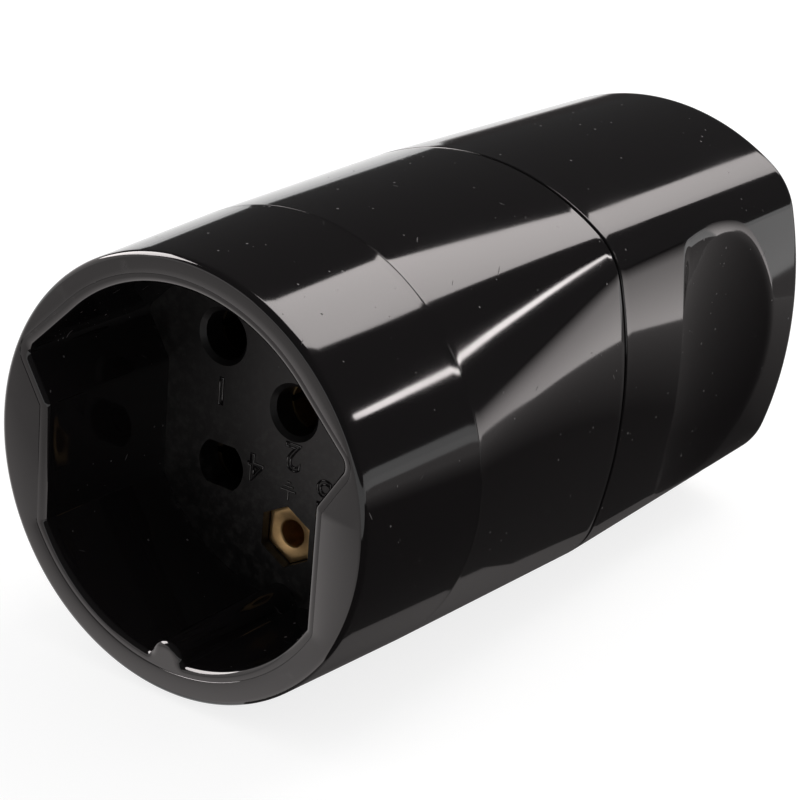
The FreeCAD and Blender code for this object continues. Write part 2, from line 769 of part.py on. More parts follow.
def build_earth_contact():
    """The hexagonal earth contact with its small bore, flange and screw terminal."""
    body = start_body("earth_contact", EARTH[0], ZERO, EARTH[1])
    face = size("recess_depth") + size("hex_set_back")
    for radius, start, end in (
        (size("earth_flange_radius"), flange_front, tower_rear),
        (size("earth_barrel_radius"), tower_rear, barrel_rear),
    ):
        disc = cross_section(body, start)
        draw_circle(disc, ZERO, ZERO, radius)
        pad(body, disc, end - start)
    hexagon = cross_section(body, face)
    draw_hexagon(hexagon, size("hex_half_flats"))
    pad(body, hexagon, flange_front - face)
    pocket_circles(body, face, [(ZERO, ZERO)], size("earth_bore_radius"), size("earth_bore_depth"))
    pocket_circles(body, barrel_rear - size("wire_bore_depth"), [(ZERO, ZERO)],
                   size("wire_bore_radius"), size("wire_bore_depth"))
    drill_terminal(body)
    return body


def build_screw(label, place, shank, length, head, head_height, turn=0):
    """A slotted screw with its head's underside at the place, and the head rearward before the turn."""
    body = start_body(label, *place, X_AXIS, turn)
    revolve(body, [
        (ZERO, -length), (shank, -length), (shank, ZERO),
        (head, ZERO), (head, head_height), (ZERO, head_height),
    ])
    half, reach = size("slot_width") / TWO, head + size("fit_gap")
    slot = cross_section(body, head_height)
    draw_box(slot, -reach, reach, -half, half)
    pocket(body, slot, size("slot_depth"), backward=True)
    return body


def build_insert(side, place):
    """A threaded brass insert, pressed into its boss from the rear."""
    x, z = place
    body = start_body(f"insert_{side}", x, ZERO, z)
    front, rear = insert_front, insert_front + size("insert_length")
    revolve(body, [
        (size("insert_bore_radius"), front), (size("insert_radius"), front),
        (size("insert_radius"), rear), (size("insert_bore_radius"), rear),
    ])
    return body


def build_clamp_bar():
    """The bar that presses the cord into its saddle, arched underneath."""
    body = start_body("clamp_bar")
    half, low, top = size("clamp_half_width"), size("clamp_bottom"), size("clamp_top")
    arch = side_of(size("cord_radius"), low)
    length = size("clamp_length")
    outline = cross_section(body, clamp_middle - length / TWO)
    draw_outline(outline, [(half, low), (half, top), (-half, top), (-half, low), (-arch, low), (arch, low)],
                 {4: (size("cord_radius"), -1)})
    block = pad(body, outline, length)
    dress_edges(body, "Fillet", block, size("clamp_edge_round"), lambda e: runs_along(e, half, top))
    plan = sketch_on(body, "XY_Plane", top)
    for x in CLAMP_SCREWS.values():
        draw_circle(plan, x, clamp_middle, size("terminal_shank_radius") + size("fit_gap"))
    pocket(body, plan, top - low)
    return body


def build_screws():
    """Every screw, each seated under its head."""
    small = (size("small_shank_radius"), size("small_head_radius"), size("small_head_height"))
    terminal = (size("terminal_shank_radius"), size("terminal_head_radius"), size("terminal_head_height"))
    made = []

    def add(label, place, kind, length, turn=0):
        shank, head, height = kind
        made.append(build_screw(label, place, shank, length, head, height, turn))

    for side, (x, z) in CONTACTS.items():
        below = z.value < 0
        seat = z - size("barrel_radius") if below else z + size("barrel_radius")
        turn = -QUARTER_TURN if below else QUARTER_TURN
        add(f"terminal_screw_{side}", (x, terminal_plane, seat), terminal,
            size("terminal_screw_length"), turn)
    earth_seat = EARTH[1] + size("earth_barrel_radius")
    add("terminal_screw_earth", (ZERO, terminal_plane, earth_seat), terminal,
        size("terminal_screw_length"), QUARTER_TURN)
    for side, x in CLAMP_SCREWS.items():
        add(f"clamp_screw_{side}", (x, clamp_middle, size("clamp_top")), terminal,
            size("clamp_screw_reach"), QUARTER_TURN)
    for side, (x, z) in CARRIER_SCREWS.items():
        add(f"carrier_screw_{side}", (x, plate_rear - size("small_head_height"), z), small,
            size("carrier_screw_length"))
    for side, (x, z) in RETAINER_SCREWS.items():
        add(f"retainer_screw_{side}", (x, retainer_rear, z), small, size("retainer_screw_length"))
    housing = (size("housing_shank_radius"), size("housing_head_radius"), size("housing_head_height"))
    for side, (x, z) in HOUSING_SCREWS.items():
        add(f"housing_screw_{side}", (x, screw_seat, z), housing, screw_seat - insert_front - size("fit_gap"))
    return made


def build_all():
    """Builds every sub-part and returns the bodies."""
    fill_sheet()
    bodies = [
        build_front_collar(), build_contact_carrier(), build_contact_retainer(),
        build_middle_shell(), build_rear_grip(), build_earth_contact(), build_clamp_bar(),
    ]
    for side, place in CONTACTS.items():
        turn = HALF_TURN if place[1].value < 0 else 0
        bodies.append(build_contact(side, place, turn))
        bodies.append(build_spring(side, place))
    for side, place in HOUSING_SCREWS.items():
        bodies.append(build_insert(side, place))
    return bodies + build_screws()


def export(bodies):
    """Checks every object's state and every sub-part's shape, then writes one file for each sub-part."""
    doc.recompute()
    for item in doc.Objects:
        if "Invalid" in item.State or "Error" in item.State:
            raise RuntimeError(f"{item.Label} is {item.State}")
    for body in bodies:
        shape = body.Shape
        if shape.isNull() or not shape.isValid() or len(shape.Solids) != 1:
            raise RuntimeError(f"{body.Label} is not one valid solid")
    os.makedirs("parts", exist_ok=True)
    for body in bodies:
        body.Shape.exportStep(f"parts/{body.Label}.step")
        print(body.Label, round(body.Shape.Volume, 1))


export(build_all())
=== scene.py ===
"""Dresses an inline socket connector: glossy housing, satin carrier, brass and steel inside.

Every shape of the connector is drawn in millimetres about its own axis: x to the right, y rearward
from the rim and z upward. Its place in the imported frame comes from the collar's box.
"""
import sys
import logging
import math
from collections.abc import Iterable, Sequence
from dataclasses import asdict, dataclass
from enum import Enum

import bmesh
import bpy
from bmesh.types import BMEdge, BMesh, BMVert
from mathutils import Matrix, Vector


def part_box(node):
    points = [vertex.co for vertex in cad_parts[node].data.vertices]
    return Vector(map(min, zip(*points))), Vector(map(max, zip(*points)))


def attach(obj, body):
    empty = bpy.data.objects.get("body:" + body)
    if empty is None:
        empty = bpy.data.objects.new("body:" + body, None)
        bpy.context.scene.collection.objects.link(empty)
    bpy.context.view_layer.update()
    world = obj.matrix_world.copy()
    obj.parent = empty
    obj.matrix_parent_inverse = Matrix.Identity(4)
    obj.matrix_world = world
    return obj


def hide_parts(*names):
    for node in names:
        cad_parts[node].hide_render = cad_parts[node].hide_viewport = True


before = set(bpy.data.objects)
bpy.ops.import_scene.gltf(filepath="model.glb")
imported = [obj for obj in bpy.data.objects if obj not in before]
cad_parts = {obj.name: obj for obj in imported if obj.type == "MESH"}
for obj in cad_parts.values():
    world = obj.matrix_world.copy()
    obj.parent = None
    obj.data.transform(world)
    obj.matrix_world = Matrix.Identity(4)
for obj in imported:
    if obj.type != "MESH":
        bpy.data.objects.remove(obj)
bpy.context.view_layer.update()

LOG = logging.getLogger("inline_socket")
BODY = "root"
MM = 0.001
TINY = 0.001  # a length in millimetres, a turn or a share that counts as nothing
SETTLE = 0.06  # from a rounding to the next loop, so that the shading turns only in the rounding
SHARP_ANGLE = math.radians(32)
QUARTER = math.pi / 2
HALF = math.pi
FULL = 2 * math.pi

COLLAR_LOW, COLLAR_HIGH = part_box("front_collar")
RIM_Y = COLLAR_LOW[1]
AXIS_Z = (COLLAR_LOW[2] + COLLAR_HIGH[2]) / 2
ON_AXIS = Matrix.Translation((0, RIM_Y, AXIS_Z)) @ Matrix.Scale(MM, 4)

Flat = tuple[float, float]
Shade = tuple[float, float, float]


class Slot(Enum):
    """The record's material slots that the script's own pieces belong to."""

    SHELL = "shell"
    CARRIER = "carrier"
    CONTACT = "contact"


# ---- shapes ----


def across(point: Flat, y: float) -> Vector:
    """A point of a cross-section, x and z, at distance y from the rim."""
    return Vector((point[0], y, point[1]))


def ring(radius: float, count: int, middle: Flat = (0.0, 0.0)) -> list[Flat]:
    """Evenly spaced points of a circle in the cross-section."""
    turns = [FULL * k / count for k in range(count)]
    return [(middle[0] + radius * math.cos(t), middle[1] + radius * math.sin(t)) for t in turns]


def spaced(start: float, end: float, step: float) -> list[float]:
    """Even distances from start up to, but not onto, the end, about one step apart."""
    count = max(1, round((end - start) / step))
    return [start + (end - start) * k / count for k in range(count)]


def quarter_round(radius: float, steps: int, depth: float | None = None) -> list[Flat]:
    """A rounded edge as pairs of how far in and how far along, from the face to the side.

    Args:
        radius: The rounding's width across the face.
        steps: How many stretches it is made of.
        depth: How far it reaches along the side, where that differs from its width.

    Returns:
        The pairs in order.
    """
    reach = radius if depth is None else depth
    turns = [QUARTER * k / steps for k in range(steps + 1)]
    return [(radius * (1 - math.sin(t)), reach * (1 - math.cos(t))) for t in turns]


def offset(outline: Sequence[Flat], amount: float) -> list[Flat]:
    """Moves a counter-clockwise outline outward.

    Args:
        outline: The points in order.
        amount: How far each side moves out, in millimetres.

    Returns:
        The moved points, mitred at the corners.
    """
    moved = []
    for k, here in enumerate(outline):
        before, after = outline[k - 1], outline[(k + 1) % len(outline)]
        first = Vector((here[1] - before[1], before[0] - here[0])).normalized()
        second = Vector((after[1] - here[1], here[0] - after[0])).normalized()
        shift = (first + second) / (1 + first.dot(second)) * amount
        moved.append((here[0] + shift[0], here[1] + shift[1]))
    return moved


class LoopShell:
    """A wall of quads that grows from one closed loop to the next."""

    def __init__(self, bm: BMesh, points: Sequence[Flat], y: float) -> None:
        """Starts the wall with a loop through the given points of the cross-section at y."""
        self.bm = bm
        made = bmesh.ops.create_circle(bm, segments=len(points), radius=1)
        self.loop: list[BMVert] = made["verts"]
        self.first = self.edges()
        self.settle(points, y)

    def edges(self) -> list[BMEdge]:
        """The edges of the newest loop."""
        members = set(self.loop)
        found = {e for v in self.loop for e in v.link_edges}
        return [e for e in found if e.verts[0] in members and e.verts[1] in members]

    def settle(self, points: Sequence[Flat], y: float) -> None:
        """Puts the newest loop's vertices on the points."""
        for vertex, point in zip(self.loop, points, strict=True):
            vertex.co = across(point, y)

    def grow(self, points: Sequence[Flat], y: float) -> None:
        """Extrudes the newest loop and puts the new one on the points."""
        made = bmesh.ops.extrude_edge_only(self.bm, edges=self.edges())
        fresh = {v for v in made["geom"] if isinstance(v, BMVert)}
        self.loop = [next(e.other_vert(v) for e in v.link_edges if e.other_vert(v) in fresh)
                     for v in self.loop]
        self.settle(points, y)

    def turn(self, middle: Flat, profile: Iterable[Flat]) -> None:
        """Grows through circles about the middle, each given as its radius and its y."""
        for radius, y in profile:
            self.grow(ring(radius, len(self.loop), middle), y)

    def close(self) -> None:
        """Joins the newest loop with the first one."""
        bmesh.ops.bridge_loops(self.bm, edges=self.edges() + self.first)


def fill_flat(bm: BMesh, edges: Iterable[BMEdge], normal: Vector) -> None:
    """Fills a flat face that may have holes."""
    bmesh.ops.triangle_fill(bm, use_beauty=True, use_dissolve=False, edges=list(edges),
                            normal=normal)


class Pen:
    """Draws a flat outline by extruding and spinning its last vertex."""

    def __init__(self, bm: BMesh, start: Flat) -> None:
        """Starts at a point of the cross-section."""
        self.bm = bm
        self.tip = bmesh.ops.create_vert(bm, co=across(start, 0))["vert"][0]

    @property
    def place(self) -> Flat:
        """Where the last vertex is."""
        return (self.tip.co.x, self.tip.co.z)

    def line_to(self, point: Flat, steps: int = 1) -> None:
        """Draws a straight stretch."""
        start, goal = self.tip.co.copy(), across(point, 0)
        for k in range(1, steps + 1):
            made = bmesh.ops.extrude_vert_indiv(self.bm, verts=[self.tip])
            self.tip = made["verts"][0]
            self.tip.co = start.lerp(goal, k / steps)

    def arc(self, centre: Flat, turn: float, steps: int) -> None:
        """Draws an arc about the centre, counter-clockwise from the front for a positive turn."""
        made = bmesh.ops.spin(self.bm, geom=[self.tip], cent=across(centre, 0), axis=(0, -1, 0),
                              dvec=(0, 0, 0), angle=turn, steps=steps, use_duplicate=False)
        self.tip = next(v for v in made["geom_last"] if isinstance(v, BMVert))

    def corner(self, point: Flat, ahead: Flat, radius: float, run: int, steps: int) -> None:
        """Draws up to a corner and round it.

        Args:
            point: The corner itself.
            ahead: The point that the outline heads for after it.
            radius: The corner's rounding.
            run: How many stretches lie before the rounding.
            steps: How many lie in it.
        """
        into = (Vector(point) - Vector(self.place)).normalized()
        out = (Vector(ahead) - Vector(point)).normalized()
        turn = math.atan2(into.x * out.y - into.y * out.x, into.dot(out))
        start = Vector(point) - into * radius * math.tan(abs(turn) / 2)
        side = math.copysign(radius, turn)
        self.line_to(tuple(start), run)
        self.arc((start.x - into.y * side, start.y + into.x * side), turn, steps)


def nestled(point: Flat, heading: Vector, inward: Vector, radius: float, fillet: float) -> Vector:
    """The centre of a rounding between a straight side and the inside of a circle about the axis.

    Args:
        point: A point of the side.
        heading: The side's unit direction, toward the circle.
        inward: The side's unit normal, toward the hollow.
        radius: The circle's radius.
        fillet: The rounding's radius.

    Returns:
        The rounding's centre.
    """
    start = Vector(point) + inward * fillet
    along = start.dot(heading)
    reach = math.sqrt(along * along - start.length_squared + (radius - fillet) ** 2)
    return start + heading * (reach - along)


def turn_of(place: Flat | Vector) -> float:
    """The polar angle of a point of the cross-section."""
    return math.atan2(place[1], place[0])


@dataclass(frozen=True)
class Outside:
    """The housing's outer form: a drafted ring that turns into a tapered, crowned oblong."""

    total_length: float = 87.7
    rim_radius: float = 22.6
    seam_radius: float = 23.35
    collar_length: float = 17.7
    seam_round: float = 0.07
    seam_steps: int = 4
    grip_start: float = 47.7
    shadow_gap: float = 0.35
    gap_round: float = 0.16
    gap_steps: int = 5
    grip_half_width: float = 20.85
    grip_half_height: float = 23.2
    end_scale: float = 0.963
    crown_radius: float = 28.0
    flank_radius: float = 50.0
    corner_radius: float = 8.4
    flank_steps: int = 44
    corner_steps: int = 26
    crown_steps: int = 50

    def corner_centre(self) -> Vector:
        """Where the corner's circle touches both the flank's and the crown's from inside."""
        flank_x = self.grip_half_width - self.flank_radius
        crown_z = self.grip_half_height - self.crown_radius
        from_flank = self.flank_radius - self.corner_radius
        from_crown = self.crown_radius - self.corner_radius
        span = math.hypot(flank_x, crown_z)
        along = (from_crown ** 2 - from_flank ** 2 + span ** 2) / (2 * span)
        side = math.sqrt(from_crown ** 2 - along ** 2)
        unit = Vector((flank_x, -crown_z)) / span
        return Vector((0, crown_z)) + unit * along + Vector((-unit.y, unit.x)) * -side

    def arcs(self) -> list[tuple[float, float, float, float, int]]:
        """One quarter's arcs from the flank up.

        Returns:
            For each arc its centre's x and z, its radius, the normal's last turn, and its steps.
        """
        corner = self.corner_centre()
        flank_x = self.grip_half_width - self.flank_radius
        crown_z = self.grip_half_height - self.crown_radius
        flank_turn = math.atan2(corner.y, corner.x - flank_x)
        crown_turn = math.atan2(corner.y - crown_z, corner.x)
        return [
            (flank_x, 0.0, self.flank_radius, flank_turn, self.flank_steps),
            (corner.x, corner.y, self.corner_radius, crown_turn, self.corner_steps),
            (0.0, crown_z, self.crown_radius, QUARTER, self.crown_steps),
        ]

    def turns(self) -> list[float]:
        """The normal's turn at each point round the section, closest together on the corners."""
        quarter, start = [], 0.0
        for *_, end, steps in self.arcs():
            quarter += [start + (end - start) * k / steps for k in range(steps)]
            start = end
        half = quarter + [HALF - t for t in [QUARTER, *reversed(quarter)][:-1]]
        return half + [HALF + t for t in half]

    def oblong(self, turn: float, scale: float, inset: float) -> Flat:
        """The point of the grip's section whose normal has this turn."""
        flat_turn = math.atan2(abs(math.sin(turn)), abs(math.cos(turn)))
        x, z, radius, *_ = next(a for a in self.arcs() if flat_turn <= a[3] + TINY)
        reach = radius * scale - inset
        x, z = x * scale + reach * math.cos(flat_turn), z * scale + reach * math.sin(flat_turn)
        return (math.copysign(x, math.cos(turn)), math.copysign(z, math.sin(turn)))

    def collar_radius(self, y: float) -> float:
        """The drafted collar's radius."""
        return self.rim_radius + (self.seam_radius - self.rim_radius) * y / self.collar_length

    def middle_section(self, y: float, inset: float) -> list[Flat]:
        """The ruled surface between the round seam and the oblong one."""
        mix = (y - self.collar_length) / (self.grip_start - self.collar_length)
        radius = self.seam_radius - inset
        points = []
        for turn in self.turns():
            x, z = self.oblong(turn, 1.0, inset)
            points.append((radius * math.cos(turn) * (1 - mix) + x * mix,
                           radius * math.sin(turn) * (1 - mix) + z * mix))
        return points

    def grip_scale(self, y: float) -> float:
        """How much the grip has tapered at y."""
        front = self.grip_start + self.shadow_gap
        return 1 - (1 - self.end_scale) * max(0.0, y - front) / (self.total_length - front)

    def grip_section(self, y: float, inset: float) -> list[Flat]:
        """The grip's section, without its scoops."""
        scale = self.grip_scale(y)
        return [self.oblong(turn, scale, inset) for turn in self.turns()]


OUTSIDE = Outside()


@dataclass(frozen=True)
class Scoop:
    """A finger scoop cut straight down through the flank: a steep nose and a long hollow floor."""

    front: float = 59.9
    middle: float = 69.0
    depth: float = 2.5
    nose_radius: float = 4.0
    floor_radius: float = 35.0
    front_softness: float = 0.9
    rear_softness: float = 0.22
    fine_step: float = 0.16
    step: float = 0.3
    slack: float = 0.9

    def floor_x(self) -> float:
        """The half-width at the scoop's lowest place."""
        return OUTSIDE.grip_half_width * (1 + OUTSIDE.end_scale) / 2 - self.depth

    def reach(self, y: float) -> float:
        """How far from the middle the cut lies at y."""
        centre_x = self.floor_x() + self.floor_radius
        nose_y = self.front + self.nose_radius
        apart = self.floor_radius - self.nose_radius
        nose_x = centre_x - math.sqrt(apart ** 2 - (self.middle - nose_y) ** 2)
        stretch = self.floor_radius / apart
        meeting = self.middle - (self.middle - nose_y) * stretch
        if y >= meeting:
            return centre_x - math.sqrt(max(self.floor_radius ** 2 - (y - self.middle) ** 2, 0))
        drop = self.nose_radius ** 2 - (nose_y - y) ** 2
        beyond = max(self.front - y, 0) * self.nose_radius
        return nose_x - math.sqrt(max(drop, 0)) + beyond

    def softness(self, y: float) -> float:
        """How wide the rim is rounded: soft at the steep front, crisp where the floor runs out."""
        along = min(max((y - self.front) / (2 * (self.middle - self.front)), 0), 1)
        return self.front_softness + (self.rear_softness - self.front_softness) * along

    def press(self, point: Flat, y: float) -> Flat:
        """Lowers a point of the grip's section onto the scoop where the cut goes deeper."""
        x, z = point
        gap = self.reach(y) - abs(x)
        soft = self.softness(y)
        share = min(max(0.5 + gap / (2 * soft), 0), 1)
        lowered = abs(x) * share + self.reach(y) * (1 - share) - soft * share * (1 - share)
        return (math.copysign(lowered, x), z)


# ---- finishing pieces ----


def add_piece(bm: BMesh, name: str, slot: Slot, material: bpy.types.Material, *nodes: str) -> None:
    """Turns a shape drawn about the axis into a finished piece of the object, at the origin.

    Args:
        bm: The shape, in millimetres. It is freed.
        name: The piece's name.
        slot: The record's slot that its finish belongs to. It is not used.
        material: Its finish.
        *nodes: The CAD nodes that it stands for.
    """
    bmesh.ops.remove_doubles(bm, verts=bm.verts, dist=TINY)
    bmesh.ops.recalc_face_normals(bm, faces=bm.faces)
    bmesh.ops.transform(bm, matrix=ON_AXIS, verts=bm.verts)
    mesh = bpy.data.meshes.new(name)
    bm.to_mesh(mesh)
    bm.free()
    mesh.shade_smooth()
    mesh.set_sharp_from_angle(angle=SHARP_ANGLE)
    mesh.materials.append(material)
    piece = bpy.data.objects.new(name, mesh)
    bpy.context.collection.objects.link(piece)
    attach(piece, BODY)
    if nodes:
        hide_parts(*nodes)
    LOG.info("%s: %d faces, for %s", name, len(mesh.polygons), ", ".join(nodes) or "no node")


# ---- shader nodes ----

NodeSocket = bpy.types.NodeSocket
Feed = NodeSocket | float


class Bench:
    """Places and links nodes in one shader tree."""

    mix_sockets = (0, 6, 7)  # the Mix node's share and its two colours

    def __init__(self, tree: bpy.types.NodeTree) -> None:
        """Takes the tree to work in."""
        self.tree = tree

    def add(self, kind: str, **settings: object) -> bpy.types.Node:
        """A new node with the given settings."""
        node = self.tree.nodes.new(kind)
        for name, value in settings.items():
            setattr(node, name, value)
        return node

    def feed(self, socket: NodeSocket, value: object) -> None:
        """Links a socket into another, or sets it to a plain value."""
        if isinstance(value, NodeSocket):
            self.tree.links.new(value, socket)
        else:
            socket.default_value = value

    def output(self, shader: bpy.types.Node, kind: str = "ShaderNodeOutputMaterial") -> None:
        """Places the tree's output node and links the shader to it."""
        self.feed(self.add(kind).inputs["Surface"], shader.outputs[0])

    def maths(self, operation: str, *values: Feed, clamp: bool = False) -> NodeSocket:
        """The result of a Math node."""
        node = self.add("ShaderNodeMath", operation=operation, use_clamp=clamp)
        for socket, value in zip(node.inputs, values, strict=False):
            self.feed(socket, value)
        return node.outputs[0]

    def noise(self, vector: Feed, scale: Feed, detail: float, roughness: float = 0.5) -> NodeSocket:
        """A noise texture's value."""
        node = self.add("ShaderNodeTexNoise")
        values = {"Vector": vector, "Scale": scale, "Detail": detail, "Roughness": roughness}
        for name, value in values.items():
            self.feed(node.inputs[name], value)
        return node.outputs["Fac"]

    def spread(self, value: Feed, low: float, high: float, to_low: float = 0.0,
               to_high: float = 1.0) -> NodeSocket:
        """A value stretched from one range to another, held at its ends."""
        node = self.add("ShaderNodeMapRange")
        self.feed(node.inputs["Value"], value)
        ends = {"From Min": low, "From Max": high, "To Min": to_low, "To Max": to_high}
        for name, end in ends.items():
            self.feed(node.inputs[name], end)
        return node.outputs["Result"]

    def blend(self, share: Feed, first: object, second: object) -> NodeSocket:
        """A colour mixed from two."""
        node = self.add("ShaderNodeMix", data_type="RGBA")
        for place, value in zip(self.mix_sockets, (share, first, second), strict=True):
            self.feed(node.inputs[place], value)
        return node.outputs[2]

    def parts(self, vector: Feed) -> bpy.types.bpy_prop_collection:
        """A vector's X, Y and Z."""
        node = self.add("ShaderNodeSeparateXYZ")
        self.feed(node.inputs[0], vector)
        return node.outputs

    def cells(self, vector: Feed, scale: Feed, **settings: object) -> tuple[NodeSocket, ...]:
        """Scattered cells: the distance from a cell's middle, and two random values of the cell."""
        texture = self.add("ShaderNodeTexVoronoi", **settings)
        self.feed(texture.inputs["Vector"], vector)
        self.feed(texture.inputs["Scale"], scale)
        chance = self.add("ShaderNodeSeparateColor")
        self.feed(chance.inputs[0], texture.outputs["Color"])
        return texture.outputs["Distance"], chance.outputs[0], chance.outputs[1]

    def group(self, tree: bpy.types.NodeTree, **values: object) -> NodeSocket:
        """Places a node group with its own values and gives its first output."""
        node = self.add("ShaderNodeGroup", node_tree=tree)
        for name, value in values.items():
            self.feed(node.inputs[name.title()], value)
        return node.outputs[0]

    def unrolled(self, vector: Feed, radius: float) -> NodeSocket:
        """Object coordinates laid flat round the connector's axis, cut open at its underside."""
        parts = self.parts(vector)
        turn = self.maths("ARCTAN2", parts["X"], self.maths("SUBTRACT", parts["Z"], AXIS_Z))
        flat = self.add("ShaderNodeCombineXYZ")
        self.feed(flat.inputs["X"], self.maths("MULTIPLY", turn, radius))
        self.feed(flat.inputs["Y"], parts["Y"])
        return flat.outputs[0]


def bench_of(owner: bpy.types.Material | bpy.types.World) -> Bench:
    """Clears a material's or a world's nodes and gives a bench for new ones."""
    owner.use_nodes = True
    owner.node_tree.nodes.clear()
    return Bench(owner.node_tree)


@dataclass(frozen=True)
class Port:
    """One named input of a node group with its default."""

    name: str
    default: float


def start_group(name: str, output: str, *ports: Port) -> tuple[Bench, dict[str, NodeSocket]]:
    """Opens a node group that takes a vector and some numbers and gives one value.

    Args:
        name: The group's name.
        output: The name of its output.
        *ports: Its number inputs. The vector input is always there.

    Returns:
        A bench in the group, and the inner sockets by name, the output's under its own name.
    """
    tree = bpy.data.node_groups.new(name, "ShaderNodeTree")
    tree.interface.new_socket("Vector", in_out="INPUT", socket_type="NodeSocketVector")
    for port in ports:
        made = tree.interface.new_socket(port.name, in_out="INPUT", socket_type="NodeSocketFloat")
        made.default_value = port.default
    tree.interface.new_socket(output, in_out="OUTPUT", socket_type="NodeSocketFloat")
    bench = Bench(tree)
    inner, outer = bench.add("NodeGroupInput"), bench.add("NodeGroupOutput")
    sockets = {s.name: s for s in inner.outputs if s.name}
    sockets[output] = outer.inputs[0]
    return bench, sockets


class Effects:
    """The surface effects that the finishes share, each a node group that gives one value."""

    unroll_radius = 0.022
    speck_edge = 0.03
    speck_power = 3.0
    dust_patch_scale = 130.0
    hair_edge = 0.012
    hair_stretch = 9.0
    side_limit = 0.5

    def __init__(self) -> None:
        """Builds each group once."""
        self.specks = self.scattered_specks()
        self.hairs = self.hair_scratches()
        self.smears = self.soft_smears()
        self.grain = self.moulded_grain()
        self.wear = self.edge_wear()

    def scattered_specks(self) -> bpy.types.NodeTree:
        """Dust: small round specks of mixed size that gather in patches."""
        bench, s = start_group("scattered_specks", "Mask",
                               Port("Scale", 700.0), Port("Density", 0.1), Port("Size", 0.12))
        distance, pick, vary = bench.cells(s["Vector"], s["Scale"])
        size = bench.maths("MULTIPLY", s["Size"], bench.maths("POWER", vary, self.speck_power))
        inside = bench.spread(bench.maths("SUBTRACT", size, distance), 0.0, self.speck_edge)
        cloud = bench.noise(s["Vector"], self.dust_patch_scale, 2.0)
        density = bench.maths("MULTIPLY", s["Density"], bench.spread(cloud, 0.48, 0.66, 0.12, 1.0))
        chosen = bench.maths("LESS_THAN", pick, density)
        bench.feed(s["Mask"], bench.maths("MULTIPLY", inside, chosen))
        return bench.tree

    def hair_scratches(self) -> bpy.types.NodeTree:
        """Short fine scratches round the sides: long thin cells, unrolled flat, a few marked."""
        bench, s = start_group("hair_scratches", "Mask", Port("Scale", 120.0), Port("Density", 0.1),
                               Port("Width", 0.02), Port("Turn", 0.4))
        lean = bench.add("ShaderNodeVectorRotate", rotation_type="Z_AXIS")
        bench.feed(lean.inputs["Vector"], bench.unrolled(s["Vector"], self.unroll_radius))
        bench.feed(lean.inputs["Angle"], s["Turn"])
        stretch = bench.add("ShaderNodeMapping", vector_type="TEXTURE")
        bench.feed(stretch.inputs["Vector"], lean.outputs[0])
        stretch.inputs["Scale"].default_value = (1.0, self.hair_stretch, 1.0)
        distance, pick, vary = bench.cells(stretch.outputs[0], s["Scale"], voronoi_dimensions="2D")
        width = bench.maths("MULTIPLY", s["Width"], vary)
        inside = bench.spread(bench.maths("SUBTRACT", width, distance), 0.0, self.hair_edge)
        chosen = bench.maths("LESS_THAN", pick, s["Density"])
        normal = bench.parts(bench.add("ShaderNodeNewGeometry").outputs["True Normal"])
        sidelong = bench.maths("LESS_THAN", bench.maths("ABSOLUTE", normal["Y"]), self.side_limit)
        marked = bench.maths("MULTIPLY", inside, chosen)
        bench.feed(s["Mask"], bench.maths("MULTIPLY", marked, sidelong))
        return bench.tree

    def soft_smears(self) -> bpy.types.NodeTree:
        """Faint wiped patches from handling."""
        bench, s = start_group("soft_smears", "Mask", Port("Scale", 60.0))
        cloud = bench.noise(s["Vector"], s["Scale"], 3.0, 0.6)
        bench.feed(s["Mask"], bench.spread(cloud, 0.42, 0.72))
        return bench.tree

    def moulded_grain(self) -> bpy.types.NodeTree:
        """The fine even texture of a spark-eroded mould, as a height."""
        bench, s = start_group("moulded_grain", "Height", Port("Scale", 5200.0))
        bench.feed(s["Height"], bench.noise(s["Vector"], s["Scale"], 2.0, 0.55))
        return bench.tree

    def edge_wear(self) -> bpy.types.NodeTree:
        """Where outer edges are rubbed, broken up by noise."""
        bench, s = start_group("edge_wear", "Mask", Port("Scale", 900.0), Port("Amount", 1.0))
        shape = bench.add("ShaderNodeNewGeometry")
        edge = bench.spread(shape.outputs["Pointiness"], 0.52, 0.6)
        patches = bench.spread(bench.noise(s["Vector"], s["Scale"], 3.0, 0.65), 0.45, 0.7)
        rubbed = bench.maths("MULTIPLY", edge, patches)
        bench.feed(s["Mask"], bench.maths("MULTIPLY", rubbed, s["Amount"], clamp=True))
        return bench.tree


class Surface:
    """A material in the making: its bench, its Object coordinates and its Principled shader."""

    def __init__(self, name: str) -> None:
        """Opens an empty material."""
        self.material = bpy.data.materials.new(name)
        self.bench = bench_of(self.material)
        self.place = self.bench.add("ShaderNodeTexCoord").outputs["Object"]
        self.shader = self.bench.add("ShaderNodeBsdfPrincipled")
        self.bench.output(self.shader)

    def set(self, **values: object) -> None:
        """Feeds the shader's sockets, named with underscores for spaces."""
        for name, value in values.items():
            words = name.replace("_", " ").title().replace("Ior", "IOR")
            self.bench.feed(self.shader.inputs[words], value)

    def bump(self, height: Feed, distance: float) -> None:
        """Raises the surface by a height, in metres at a height of one."""
        node = self.bench.add("ShaderNodeBump")
        node.inputs["Strength"].default_value = 1.0
        node.inputs["Distance"].default_value = distance
        self.bench.feed(node.inputs["Height"], height)
        self.set(normal=node.outputs[0])


@dataclass(frozen=True)
class Specks:
    """Dust: its cells per metre, the share that may hold a speck, and the largest speck."""

    scale: float
    density: float
    size: float


@dataclass(frozen=True)
class Hairs:
    """Fine scratches or lint: the cells per metre, the share marked, their width and their turn."""

    scale: float
    density: float
    width: float
    turn: float


